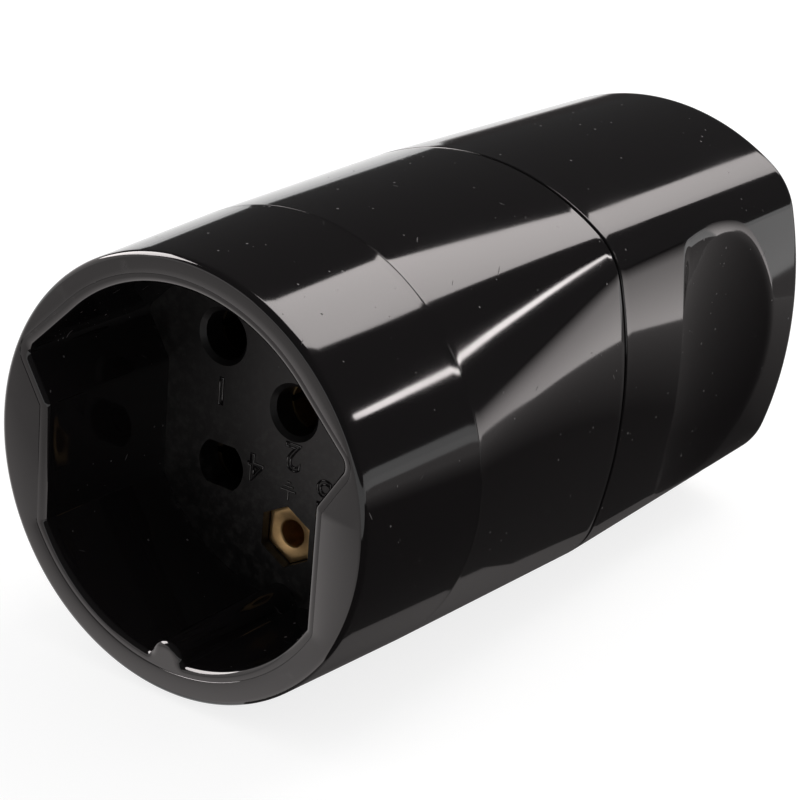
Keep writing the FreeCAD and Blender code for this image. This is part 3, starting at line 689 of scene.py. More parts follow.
@dataclass(frozen=True)
class GlossPlastic:
    """Polished black plastic with dust, hair scratches and handling smears."""

    colour: Shade = (0.0072, 0.0062, 0.0066)
    dust_colour: Shade = (0.13, 0.125, 0.125)
    worn_colour: Shade = (0.035, 0.034, 0.034)
    roughness: float = 0.06
    smear_roughness: float = 0.025
    scratch_roughness: float = 0.2
    dust_roughness: float = 0.6
    dust: Specks = Specks(1500.0, 0.5, 0.24)
    lint: Hairs = Hairs(900.0, 0.03, 0.06, 1.1)
    scratches: Hairs = Hairs(460.0, 0.28, 0.035, -0.6)
    smear_scale: float = 70.0
    wear_scale: float = 900.0
    wear: float = 0.6
    wave_scale: float = 55.0
    wave_height: float = 0.02 * MM
    scratch_sink: float = 0.15

    def make(self, name: str, effects: Effects) -> bpy.types.Material:
        """Builds the material."""
        surface = Surface(name)
        bench, place = surface.bench, surface.place
        dust = bench.group(effects.specks, vector=place, **asdict(self.dust))
        lint = bench.group(effects.hairs, vector=place, **asdict(self.lint))
        scratch = bench.group(effects.hairs, vector=place, **asdict(self.scratches))
        smear = bench.group(effects.smears, vector=place, scale=self.smear_scale)
        worn = bench.group(effects.wear, vector=place, scale=self.wear_scale, amount=self.wear)
        loose = bench.maths("MAXIMUM", dust, lint)
        colour = bench.blend(worn, (*self.colour, 1), (*self.worn_colour, 1))
        colour = bench.blend(scratch, colour, (*self.worn_colour, 1))
        colour = bench.blend(loose, colour, (*self.dust_colour, 1))
        rubbed = bench.maths("MAXIMUM", scratch, worn)
        rough = bench.maths("MULTIPLY_ADD", smear, self.smear_roughness, self.roughness)
        rough = bench.maths("MULTIPLY_ADD", rubbed, self.scratch_roughness, rough)
        rough = bench.maths("MULTIPLY_ADD", loose, self.dust_roughness, rough, clamp=True)
        surface.set(base_color=colour, roughness=rough)
        wave = bench.noise(place, self.wave_scale, 1.0)
        height = bench.maths("MULTIPLY_ADD", scratch, -self.scratch_sink, wave)
        surface.bump(height, self.wave_height)
        return surface.material


@dataclass(frozen=True)
class SatinPlastic:
    """Black plastic straight from a finely eroded mould."""

    colour: Shade = (0.0052, 0.0046, 0.0048)
    dust_colour: Shade = (0.05, 0.048, 0.046)
    roughness: float = 0.42
    smear_roughness: float = 0.015
    specular: float = 0.42
    dust: Specks = Specks(1300.0, 0.05, 0.22)
    smear_scale: float = 45.0
    grain_scale: float = 5200.0
    grain_height: float = 0.006 * MM
    wear_scale: float = 1200.0
    wear: float = 0.35

    def make(self, name: str, effects: Effects) -> bpy.types.Material:
        """Builds the material."""
        surface = Surface(name)
        bench, place = surface.bench, surface.place
        dust = bench.group(effects.specks, vector=place, **asdict(self.dust))
        smear = bench.group(effects.smears, vector=place, scale=self.smear_scale)
        grain = bench.group(effects.grain, vector=place, scale=self.grain_scale)
        worn = bench.group(effects.wear, vector=place, scale=self.wear_scale, amount=self.wear)
        pale = bench.maths("MAXIMUM", dust, worn)
        rough = bench.maths("MULTIPLY_ADD", smear, self.smear_roughness, self.roughness)
        surface.set(base_color=bench.blend(pale, (*self.colour, 1), (*self.dust_colour, 1)),
                    roughness=rough, specular_ior_level=self.specular)
        surface.bump(grain, self.grain_height)
        return surface.material


class Lathe(Enum):
    """Which way a turned part's axis points."""

    ALONG = "Y"
    UPRIGHT = "Z"


@dataclass(frozen=True)
class TurnedMetal:
    """Metal off the lathe: tool marks along the part's own axis, with dull patches."""

    colour: Shade
    dull_colour: Shade
    roughness: float
    dull_roughness: float = 0.2
    dull_share: float = 0.7
    dull_scale: float = 420.0
    grit_scale: float = 4200.0
    grit_share: float = 0.6
    mark_scale: float = 0.05 / (0.16 * MM)
    mark_height: float = 0.006 * MM

    def make(self, name: str, effects: Effects, middle: Vector, lathe: Lathe) -> bpy.types.Material:
        """Builds the material for a part whose axis runs through the middle given."""
        surface = Surface(name)
        bench, place = surface.bench, surface.place
        centred = bench.add("ShaderNodeMapping")
        bench.feed(centred.inputs["Vector"], place)
        centred.inputs["Location"].default_value = -middle
        marks = bench.add("ShaderNodeTexWave", wave_type="BANDS", bands_direction=lathe.value)
        bench.feed(marks.inputs["Vector"], centred.outputs[0])
        for socket, value in (("Scale", self.mark_scale), ("Distortion", 2.0), ("Detail", 2.0)):
            marks.inputs[socket].default_value = value
        dull = bench.group(effects.smears, vector=place, scale=self.dull_scale)
        grit = bench.group(effects.grain, vector=place, scale=self.grit_scale)
        share = bench.maths("MULTIPLY", dull, self.dull_share)
        rough = bench.maths("MULTIPLY_ADD", dull, self.dull_roughness, self.roughness)
        surface.set(base_color=bench.blend(share, (*self.colour, 1), (*self.dull_colour, 1)),
                    roughness=rough, metallic=1.0)
        height = bench.maths("MULTIPLY_ADD", grit, self.grit_share, marks.outputs["Fac"])
        surface.bump(height, self.mark_height)
        return surface.material


BRASS = TurnedMetal(
    colour=(0.88, 0.60, 0.29), dull_colour=(0.52, 0.34, 0.15), roughness=0.38)
# A dimmed copy of the brass for the centre contact down in its pin hole: painted shade.
SHADE_DIMMED_BRASS = TurnedMetal(
    colour=(0.34, 0.24, 0.12), dull_colour=(0.10, 0.07, 0.035), roughness=0.38)
# A near-black copy of the brass for the contacts and inserts down in the carrier's holes: painted
# shade.
SHADE_DARKENED_BRASS = TurnedMetal(
    colour=(0.045, 0.034, 0.022), dull_colour=(0.014, 0.011, 0.009), roughness=0.45)
ZINC_STEEL = TurnedMetal(
    colour=(0.62, 0.62, 0.61), dull_colour=(0.42, 0.42, 0.43), roughness=0.3)


# ---- the object's sub-assemblies ----


@dataclass
class Collar:
    """The drafted front collar with the polarised recess, its guide key and the rounded rim."""

    material: bpy.types.Material
    rim_round: float = 0.65
    rim_steps: int = 14
    side_step: float = 1.1
    carrier_radius: float = 21.65
    recess_depth: float = 18.3
    recess_radius: float = 19.5
    recess_low_radius: float = 19.1
    recess_flat: float = 16.5
    flat_top: float = 2.95
    ear_height: float = 7.9
    ear_round: float = 1.2
    foot_round: float = 0.45
    mouth_width: float = 0.85
    mouth_depth: float = 0.6
    mouth_steps: int = 10
    wall_step: float = 1.2
    joint_offset: float = 0.98
    joint_width: float = 0.07
    joint_floor: float = 0.4
    joint_sink: float = 0.05
    foot_drop: float = 0.5
    key_half_width: float = 1.9
    key_foot_half_width: float = 2.6
    key_crest_radius: float = 1.95
    key_crest: float = 17.1
    crest_steps: int = 14
    key_side_steps: int = 4
    foot_steps: int = 5
    low_arc_steps: int = 46
    flat_steps: int = 22
    flat_corner_steps: int = 8
    ledge_steps: int = 10
    ear_steps: int = 12
    slant_steps: int = 14
    top_arc_steps: int = 40
    weld: float = 0.02
    ring_points: int = 360
    margin: float = 0.06

    def draw_key(self, bm: BMesh) -> Pen:
        """Draws half of the guide key, from its crest down to the recess's low arc."""
        crest_centre = (0.0, -self.key_crest - self.key_crest_radius)
        pen = Pen(bm, (0.0, -self.key_crest))
        lean = math.acos(self.key_half_width / self.key_crest_radius)
        pen.arc(crest_centre, lean - QUARTER, self.crest_steps)
        foot = (self.key_foot_half_width, -self.recess_low_radius - self.foot_drop)
        down = (Vector(foot) - Vector(pen.place)).normalized()
        outer = Vector((-down.y, down.x))
        nest = nestled(pen.place, down, outer, self.recess_low_radius, self.foot_round)
        pen.line_to(tuple(nest - outer * self.foot_round), self.key_side_steps)
        pen.arc(tuple(nest), turn_of(nest) - turn_of(-outer), self.foot_steps)
        return pen

    def recess_outline(self, keyed: bool) -> list[Flat]:
        """The recess's outline, counter-clockwise seen from the front.

        Args:
            keyed: Whether it goes round the guide key.

        Returns:
            The points: the right half as drawn, and its mirror image.
        """
        bm = bmesh.new()
        low = self.recess_low_radius
        pen = self.draw_key(bm) if keyed else Pen(bm, (0.0, -low))
        up, inward = Vector((0, -1)), Vector((-1, 0))
        flat_nest = nestled((self.recess_flat, 0), up, inward, low, self.foot_round)
        pen.arc((0.0, 0.0), turn_of(flat_nest) - turn_of(pen.place), self.low_arc_steps)
        pen.arc(tuple(flat_nest), -turn_of(flat_nest), self.foot_steps)

        slant = self.recess_radius / math.sqrt(2)
        ear = (2 * slant - self.ear_height, self.ear_height)
        pen.corner((self.recess_flat, self.flat_top), ear, self.ear_round,
                   self.flat_steps, self.flat_corner_steps)
        pen.corner(ear, (slant, slant), self.ear_round, self.ledge_steps, self.ear_steps)
        pen.line_to((slant, slant), self.slant_steps)
        pen.arc((0.0, 0.0), HALF / 4, self.top_arc_steps)
        bmesh.ops.mirror(bm, geom=bm.verts[:] + bm.edges[:], axis="X", merge_dist=self.weld)
        bmesh.ops.remove_doubles(bm, verts=bm.verts, dist=self.weld)
        outline = self.walk(bm)
        bm.free()
        return outline

    @staticmethod
    def walk(bm: BMesh) -> list[Flat]:
        """The points of a closed wire in order, from its lowest middle point to the right."""
        start = min(bm.verts, key=lambda v: (abs(v.co.x), v.co.z))
        here, order = start, [start]
        step = max((e.other_vert(here) for e in here.link_edges), key=lambda v: v.co.x)
        while step is not start:
            order.append(step)
            ahead = next(v for e in step.link_edges if (v := e.other_vert(step)) is not here)
            here, step = step, ahead
        return [(v.co.x, v.co.z) for v in order]

    def build(self) -> None:
        """Makes the collar as one closed wall: recess, front face, joint line, rim and side."""
        bm = bmesh.new()
        recess = self.draw_recess(bm)
        joint = self.draw_joint(bm)
        fill_flat(bm, recess.edges() + joint.first, Vector((0, -1, 0)))
        side = self.draw_side(bm)
        fill_flat(bm, joint.edges() + side.first, Vector((0, -1, 0)))
        fill_flat(bm, recess.first + side.edges(), Vector((0, 1, 0)))
        add_piece(bm, "collar_shell", Slot.SHELL, self.material, "front_collar")

    def draw_recess(self, bm: BMesh) -> LoopShell:
        """The recess's wall from its floor up, and its rounded mouth."""
        outline, sink = self.recess_outline(keyed=True), self.joint_sink
        recess = LoopShell(bm, outline, self.recess_depth)
        for y in reversed(spaced(sink + self.mouth_depth, self.recess_depth, self.wall_step)):
            recess.grow(outline, y)
        mouth = quarter_round(self.mouth_width, self.mouth_steps, self.mouth_depth)
        for inward, along in reversed(mouth[:-1]):
            recess.grow(offset(outline, inward), sink + along)
        recess.grow(offset(outline, self.mouth_width + self.margin / 2), sink)
        return recess

    def draw_joint(self, bm: BMesh) -> LoopShell:
        """The fine joint line round the mouth: a groove that slopes up to the front face."""
        plain = self.recess_outline(keyed=False)
        joint = LoopShell(bm, offset(plain, self.joint_offset), self.joint_sink)
        joint.grow(offset(plain, self.joint_offset), 2 * self.joint_sink)
        for share in (0.0, 0.5, 1.0):
            width = self.joint_width * (self.joint_floor + (1 - self.joint_floor) * share)
            joint.grow(offset(plain, self.joint_offset + width), self.joint_sink * (1 - share) ** 2)
        return joint

    def draw_side(self, bm: BMesh) -> LoopShell:
        """The rounded rim, the drafted side, and the seat of the carrier behind the recess."""
        draft = math.atan2(OUTSIDE.seam_radius - OUTSIDE.rim_radius, OUTSIDE.collar_length)
        radius, steps = self.rim_round, self.rim_steps
        centre = OUTSIDE.collar_radius(radius) - radius / math.cos(draft)
        turns = [QUARTER - (QUARTER - draft) * k / steps for k in range(steps + 1)]
        end, seam_round = OUTSIDE.collar_length, OUTSIDE.seam_round
        plain_end = end - seam_round
        plain = [*spaced(radius, plain_end, self.side_step)[1:], plain_end - SETTLE]
        seam = reversed(quarter_round(seam_round, OUTSIDE.seam_steps))

        side = LoopShell(bm, ring(centre - self.margin, self.ring_points), 0)
        side.turn((0.0, 0.0), [
            *((centre + radius * math.cos(t), radius * (1 - math.sin(t))) for t in turns),
            *((OUTSIDE.collar_radius(y), y) for y in plain),
            *((OUTSIDE.seam_radius - inward, end - along) for inward, along in seam),
            (self.carrier_radius, end),
            (self.carrier_radius, self.recess_depth),
        ])
        return side


@dataclass
class MiddleShell:
    """The hollow shell from the round seam to the oblong one, with a lip that enters the grip."""

    material: bpy.types.Material
    step: float = 0.75
    wall: float = 1.9
    bore_radius: float = 21.75
    shoulder_radius: float = 20.75
    plate_rear: float = 21.3
    lip_setback: float = 1.0
    lip_length: float = 2.3

    def build(self) -> None:
        """Makes the shell as one closed wall, from its front bore outward and back."""
        bm = bmesh.new()
        start, end = OUTSIDE.collar_length, OUTSIDE.grip_start
        round_turns = [(math.cos(t), math.sin(t)) for t in OUTSIDE.turns()]
        bore = [(x * self.bore_radius, z * self.bore_radius) for x, z in round_turns]
        shoulder = [(x * self.shoulder_radius, z * self.shoulder_radius) for x, z in round_turns]

        shell = LoopShell(bm, bore, start)
        for inward, along in quarter_round(OUTSIDE.seam_round, OUTSIDE.seam_steps):
            shell.grow(OUTSIDE.middle_section(start, inward), start + along)
        plain_start, plain_end = start + OUTSIDE.seam_round, end - OUTSIDE.gap_round
        plain = spaced(plain_start, plain_end, self.step)[1:]
        for y in [plain_start + SETTLE, *plain, plain_end - SETTLE]:
            shell.grow(OUTSIDE.middle_section(y, 0), y)
        for inward, along in reversed(quarter_round(OUTSIDE.gap_round, OUTSIDE.gap_steps)):
            shell.grow(OUTSIDE.middle_section(end, inward), end - along)
        lip = OUTSIDE.middle_section(end, self.lip_setback)
        inside = OUTSIDE.middle_section(end, self.wall)
        for points, y in ((lip, end), (lip, end + self.lip_length), (inside, end + self.lip_length),
                          (inside, end), (shoulder, self.plate_rear), (bore, self.plate_rear)):
            shell.grow(points, y)
        shell.close()
        add_piece(bm, "middle_housing", Slot.SHELL, self.material, "middle_shell")


@dataclass
class RearGrip:
    """The tapered grip: finger scoops, rounded rear edge, cord entry, screw holes and tubes."""

    material: bpy.types.Material
    scoop: Scoop
    end_round: float = 1.0
    end_steps: int = 8
    margin: float = 0.08
    plain_step: float = 1.0
    steep_length: float = 4.5
    wall: float = 1.9
    deep_wall: float = 2.5
    lip_pocket_inset: float = 0.9
    lip_pocket_end: float = 50.1
    front_cavity_end: float = 59.05
    rear_wall: float = 3.5
    entry_radius: float = 5.6
    entry_round: float = 1.2
    recess_radius: float = 2.8
    recess_depth: float = 2.4
    recess_edge: float = 0.12
    bore_radius: float = 1.55
    tube_radius: float = 3.6
    tube_length: float = 22.0
    top_screw_z: float = 17.3
    low_screw_x: float = 9.5
    low_screw_z: float = 14.7
    ring_points: int = 72

    def screws(self) -> list[Flat]:
        """Where the three housing screws run."""
        return [(0.0, self.top_screw_z), (-self.low_screw_x, -self.low_screw_z),
                (self.low_screw_x, -self.low_screw_z)]

    def cavity(self) -> list[Flat]:
        """The deep cavity's outline: flat flanks that clear the scoops, crowned top and bottom."""
        scale = OUTSIDE.end_scale
        narrow = self.scoop.floor_x() - self.wall
        crown = OUTSIDE.crown_radius * scale - self.deep_wall
        sink = (OUTSIDE.crown_radius - OUTSIDE.grip_half_height) * scale
        points = []
        for x, z in OUTSIDE.grip_section(self.front_cavity_end, self.wall):
            length = math.hypot(x, z)
            ux, uz = x / length, z / length
            up = -sink * abs(uz) + math.sqrt(crown ** 2 - (sink * ux) ** 2)
            reach = min(narrow / max(abs(ux), TINY), up)
            points.append((ux * reach, uz * reach))
        return points

    def outside(self, y: float, inset: float = 0.0) -> list[Flat]:
        """The scooped outer section at y."""
        points = OUTSIDE.grip_section(y, inset)
        if y < self.scoop.front - self.scoop.slack:
            return points
        return [self.scoop.press(p, y) for p in points]

    def stations(self) -> list[float]:
        """The distances of the outer loops: dense over the scoop, closest at its steep front."""
        front = OUTSIDE.grip_start + OUTSIDE.shadow_gap + OUTSIDE.gap_round
        rear = OUTSIDE.total_length - self.end_round
        dense = self.scoop.front - self.scoop.slack
        steep = dense + self.steep_length
        plain = [front + SETTLE, *spaced(front, dense, self.plain_step)[1:]]
        return [*plain, *spaced(dense, steep, self.scoop.fine_step),
                *spaced(steep, rear, self.scoop.step)]

    def build(self) -> None:
        """Makes the grip as one closed wall with its holes, and the tubes behind them."""
        bm = bmesh.new()
        front, rear = OUTSIDE.grip_start + OUTSIDE.shadow_gap, OUTSIDE.total_length
        inner_rear = rear - self.rear_wall
        cavity = self.cavity()
        first_cavity = [(x * OUTSIDE.end_scale, z * OUTSIDE.end_scale)
                        for x, z in OUTSIDE.grip_section(front, self.wall)]
        pocket = OUTSIDE.grip_section(front, self.lip_pocket_inset)

        shell = LoopShell(bm, cavity, inner_rear)
        for points, y in ((cavity, self.front_cavity_end), (first_cavity, self.front_cavity_end),
                          (first_cavity, self.lip_pocket_end), (pocket, self.lip_pocket_end),
                          (pocket, front)):
            shell.grow(points, y)
        for inward, along in quarter_round(OUTSIDE.gap_round, OUTSIDE.gap_steps):
            shell.grow(self.outside(front, inward), front + along)
        for y in self.stations():
            shell.grow(self.outside(y), y)
        for inward, along in reversed(quarter_round(self.end_round, self.end_steps)):
            shell.grow(self.outside(rear - along, inward), rear - along)
        shell.grow(self.outside(rear, self.end_round + self.margin), rear)

        rear_edges, inner_edges = shell.edges(), list(shell.first)
        for hole in self.holes(bm, rear, inner_rear):
            rear_edges += hole.first
            inner_edges += hole.edges()
        fill_flat(bm, rear_edges, Vector((0, 1, 0)))
        fill_flat(bm, inner_edges, Vector((0, -1, 0)))
        for place in self.screws():
            self.add_tube(bm, place, inner_rear)
        add_piece(bm, "grip_housing", Slot.SHELL, self.material, "rear_grip")

    def holes(self, bm: BMesh, rear: float, inner_rear: float) -> list[LoopShell]:
        """The rounded cord entry and the stepped screw holes through the rear wall."""
        count = self.ring_points
        entry = LoopShell(bm, ring(self.entry_radius + self.entry_round + self.margin, count), rear)
        rounding = quarter_round(self.entry_round, self.end_steps)
        entry.turn((0.0, 0.0), [
            *((self.entry_radius + inward, rear - along) for inward, along in rounding),
            (self.entry_radius, inner_rear),
        ])
        made = [entry]
        mouth = self.recess_radius + self.recess_edge
        for place in self.screws():
            hole = LoopShell(bm, ring(mouth + self.margin, count, place), rear)
            hole.turn(place, [(mouth, rear),
                              (self.recess_radius, rear - self.recess_edge),
                              (self.recess_radius, rear - self.recess_depth),
                              (self.bore_radius, rear - self.recess_depth),
                              (self.bore_radius, inner_rear)])
            made.append(hole)
        return made

    def add_tube(self, bm: BMesh, place: Flat, inner_rear: float) -> None:
        """One screw tube, its root sunk a little into the rear wall."""
        front, root = inner_rear - self.tube_length, inner_rear + self.margin
        bore, outer = self.bore_radius, self.tube_radius
        tube = LoopShell(bm, ring(bore, self.ring_points, place), front)
        tube.turn(place, [(outer, front), (outer, root), (bore, root)])
        tube.close()


@dataclass
class EarthContact:
    """The bevelled brass hexagon, with a shallow cone round its small bore, and its barrel."""

    material: bpy.types.Material
    axis_z: float = -11.75
    face: float = 19.3
    half_flats: float = 2.9
    bevel: float = 0.3
    marks_origin: float = 20.0
    bore_radius: float = 1.45
    bore_depth: float = 15.0
    bore_edge: float = 0.12
    cone_radius: float = 2.35
    cone_depth: float = 0.18
    flange_radius: float = 3.8
    flange_front: float = 33.0
    flange_rear: float = 35.0
    barrel_radius: float = 3.3
    barrel_rear: float = 46.0
    wire_radius: float = 1.6
    wire_depth: float = 9.0
    count: int = 72

    def hexagon(self, inset: float) -> list[Flat]:
        """A hexagon with a corner at its top, on as many points as the round parts have."""
        points = []
        sector = HALF / 3
        for k in range(self.count):
            turn = FULL * k / self.count
            lean = (turn + sector / 2) % sector - sector / 2
            reach = (self.half_flats - inset) / math.cos(lean)
            points.append((reach * math.cos(turn), self.axis_z + reach * math.sin(turn)))
        return points

    def build(self) -> None:
        """Makes the contact as one closed wall from its bore's end forward, out and to the rear."""
        bm = bmesh.new()
        middle, cone_foot = (0.0, self.axis_z), self.face + self.cone_depth
        bore = ring(self.bore_radius, self.count, middle)
        shell = LoopShell(bm, bore, self.face + self.bore_depth)
        shell.turn(middle, [(self.bore_radius, cone_foot + self.bore_edge),
                            (self.bore_radius + self.bore_edge, cone_foot),
                            (self.cone_radius, self.face)])
        shell.grow(self.hexagon(self.bevel), self.face)
        shell.grow(self.hexagon(0), self.face + self.bevel / 2)
        shell.grow(self.hexagon(0), self.flange_front)
        shell.turn(middle, [(self.flange_radius, self.flange_front),
                            (self.flange_radius, self.flange_rear),
                            (self.barrel_radius, self.flange_rear),
                            (self.barrel_radius, self.barrel_rear),
                            (self.wire_radius, self.barrel_rear),
                            (self.wire_radius, self.barrel_rear - self.wire_depth)])
        fill_flat(bm, shell.first, Vector((0, -1, 0)))
        fill_flat(bm, shell.edges(), Vector((0, 1, 0)))
        add_piece(bm, "earth_hexagon", Slot.CONTACT, self.material, "earth_contact")


@dataclass
class PoleMarks:
    """Fine raised pole numbers and an earth sign on the recess floor."""

    material: bpy.types.Material
    floor: float = 18.3
    size: float = 4.2
    stroke: float = 0.11
    stroke_resolution: int = 2
    sink: float = 0.03
    sign_place: Flat = (0.0, -6.6)
    sign_stem: float = 1.0
    sign_spacing: float = 0.45
    sign_bars: tuple[float, ...] = (0.95, 0.6, 0.28)

    def places(self) -> dict[str, Flat]:
        """The middle of each number."""
        return {"1": (-9.4, 1.7), "2": (0.3, -2.6), "3": (9.4, 1.7),
                "4": (-4.4, -5.3), "5": (4.4, -5.3)}

    def number(self, text: str) -> bpy.types.Curve:
        """A number's outlines."""
        curve = bpy.data.curves.new("pole_number", "FONT")
        curve.body, curve.size = text, self.size
        curve.align_x, curve.align_y = "CENTER", "CENTER"
        curve.fill_mode = "NONE"
        return curve

    def earth_sign(self) -> bpy.types.Curve:
        """The earth sign's stem and its three shrinking bars."""
        curve = bpy.data.curves.new("earth_sign", "CURVE")
        curve.dimensions, curve.use_fill_caps = "3D", True
        top = (self.sign_stem + self.sign_spacing * (len(self.sign_bars) - 1)) / 2
        foot = top - self.sign_stem
        heights = [foot - k * self.sign_spacing for k in range(len(self.sign_bars))]
        bars = [((-half, y), (half, y)) for half, y in zip(self.sign_bars, heights, strict=True)]
        for stroke in [((0.0, top), (0.0, foot)), *bars]:
            spline = curve.splines.new("POLY")
            spline.points.add(len(stroke) - 1)
            for point, (x, y) in zip(spline.points, stroke, strict=True):
                point.co = (x, y, 0, 1)
        return curve

    def add_strokes(self, bm: BMesh, curve: bpy.types.Curve, place: Flat) -> None:
        """Turns a curve into round strokes, half sunk in the recess floor. The curve is removed."""
        curve.bevel_depth, curve.bevel_resolution = self.stroke, self.stroke_resolution
        holder = bpy.data.objects.new(curve.name, curve)
        mesh = bpy.data.meshes.new_from_object(holder)
        stand = Matrix.Rotation(HALF, 4, "Y") @ Matrix.Rotation(QUARTER, 4, "X")
        mesh.transform(Matrix.Translation((place[0], self.floor - self.sink, place[1])) @ stand)
        bm.from_mesh(mesh)
        bpy.data.objects.remove(holder)
        bpy.data.meshes.remove(mesh)
        bpy.data.curves.remove(curve)

    def build(self) -> None:
        """Makes the numbers and the sign as one mesh."""
        bm = bmesh.new()
        for text, place in self.places().items():
            self.add_strokes(bm, self.number(text), place)
        self.add_strokes(bm, self.earth_sign(), self.sign_place)
        add_piece(bm, "pole_marks", Slot.CARRIER, self.material)


@dataclass
class CarriedNodes:
    """The CAD nodes that keep their own shape and only take a finish."""

    effects: Effects
    satin: bpy.types.Material
    satin_nodes: tuple[str, ...] = ("contact_carrier", "contact_retainer", "clamp_bar")
    # the centre contact, which takes the dimmed brass: painted shade in its pin hole
    worn_nodes: tuple[str, ...] = ("contact_centre",)
    brass_starts: tuple[str, ...] = ("contact_", "insert_")
    upright_starts: tuple[str, ...] = ("terminal_", "clamp_")

    def dress(self) -> None:
        """Gives each shown node the finish of its slot, metal parts centred on themselves."""
        for name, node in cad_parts.items():
            if node.hide_render:
                continue
            material = self.material_of(name)
            for slot in node.material_slots:
                slot.material = material
            LOG.info("%s: CAD shape, %s", name, material.name)

    def material_of(self, name: str) -> bpy.types.Material:
        """The finish of one node."""
        if name in self.satin_nodes:
            return self.satin
        low, high = (Vector(c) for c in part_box(name))
        # Brass contacts and inserts take the near-black copy of the brass: painted shade for the
        # holes they sit in.
        metal = SHADE_DARKENED_BRASS if name.startswith(self.brass_starts) else ZINC_STEEL
        # the centre contact takes the dimmed copy of the brass: painted shade
        if name in self.worn_nodes:
            metal = SHADE_DIMMED_BRASS
        lathe = Lathe.UPRIGHT if name.startswith(self.upright_starts) else Lathe.ALONG
        return metal.make(f"{name}_metal", self.effects, (low + high) / 2, lathe)


# ---- studio ----


def direction(azimuth: float, elevation: float) -> Vector:
    """A unit vector from degrees: azimuth 0 is the front, 90 the right and 180 the rear."""
    a, e = math.radians(azimuth), math.radians(elevation)
    return Vector((math.sin(a) * math.cos(e), -math.cos(a) * math.cos(e), math.sin(e)))


def stage_mesh(bm: BMesh, name: str, material: bpy.types.Material, **rays: bool) -> None:
    """Turns a shape drawn in metres into a piece of the studio.

    Args:
        bm: The shape. It is freed.
        name: The piece's name.
        material: Its look.
        **rays: Which rays meet it, by the ending of the object's visibility setting.
    """
    mesh = bpy.data.meshes.new(name)
    bm.to_mesh(mesh)
    bm.free()
    mesh.materials.append(material)
    piece = bpy.data.objects.new(name, mesh)
    for kind, met in rays.items():
        setattr(piece, f"visible_{kind}", met)
    bpy.context.collection.objects.link(piece)


@dataclass(frozen=True)
class Fade:
    """How a light changes along an axis: from the panel's strength at the start to its own."""

    axis: str
    start: float
    end: float
    strength: float = 0.0


WHITE: Shade = (1.0, 1.0, 1.0)
WARM: Shade = (1.0, 0.942, 0.932)


def glow(name: str, strength: float, tint: Shade, fade: Fade | None = None) -> bpy.types.Material:
    """A material that only shines, evenly or with a fade along an axis of the scene."""
    material = bpy.data.materials.new(name)
    bench = bench_of(material)
    lamp = bench.add("ShaderNodeEmission")
    lamp.inputs["Color"].default_value = (*tint, 1)
    level: Feed = strength
    if fade:
        place = bench.parts(bench.add("ShaderNodeTexCoord").outputs["Object"])
        level = bench.spread(place[fade.axis], fade.start, fade.end, strength, fade.strength)
    bench.feed(lamp.inputs["Strength"], level)
    bench.output(lamp)
    return material


@dataclass(frozen=True)
class Panel:
    """A flat lit or dark surface of the studio, which the camera itself doesn't see."""

    name: str
    corners: tuple[Vector, ...]
    strength: float
    lights: bool = False
    fade: Fade | None = None

    def build(self) -> None:
        """Makes the panel."""
        bm = bmesh.new()
        for corner in self.corners:
            bm.verts.new(corner)
        bmesh.ops.contextual_create(bm, geom=bm.verts[:])
        stage_mesh(bm, self.name, glow(self.name, self.strength, WARM, self.fade),
                   camera=False, shadow=False, diffuse=self.lights)


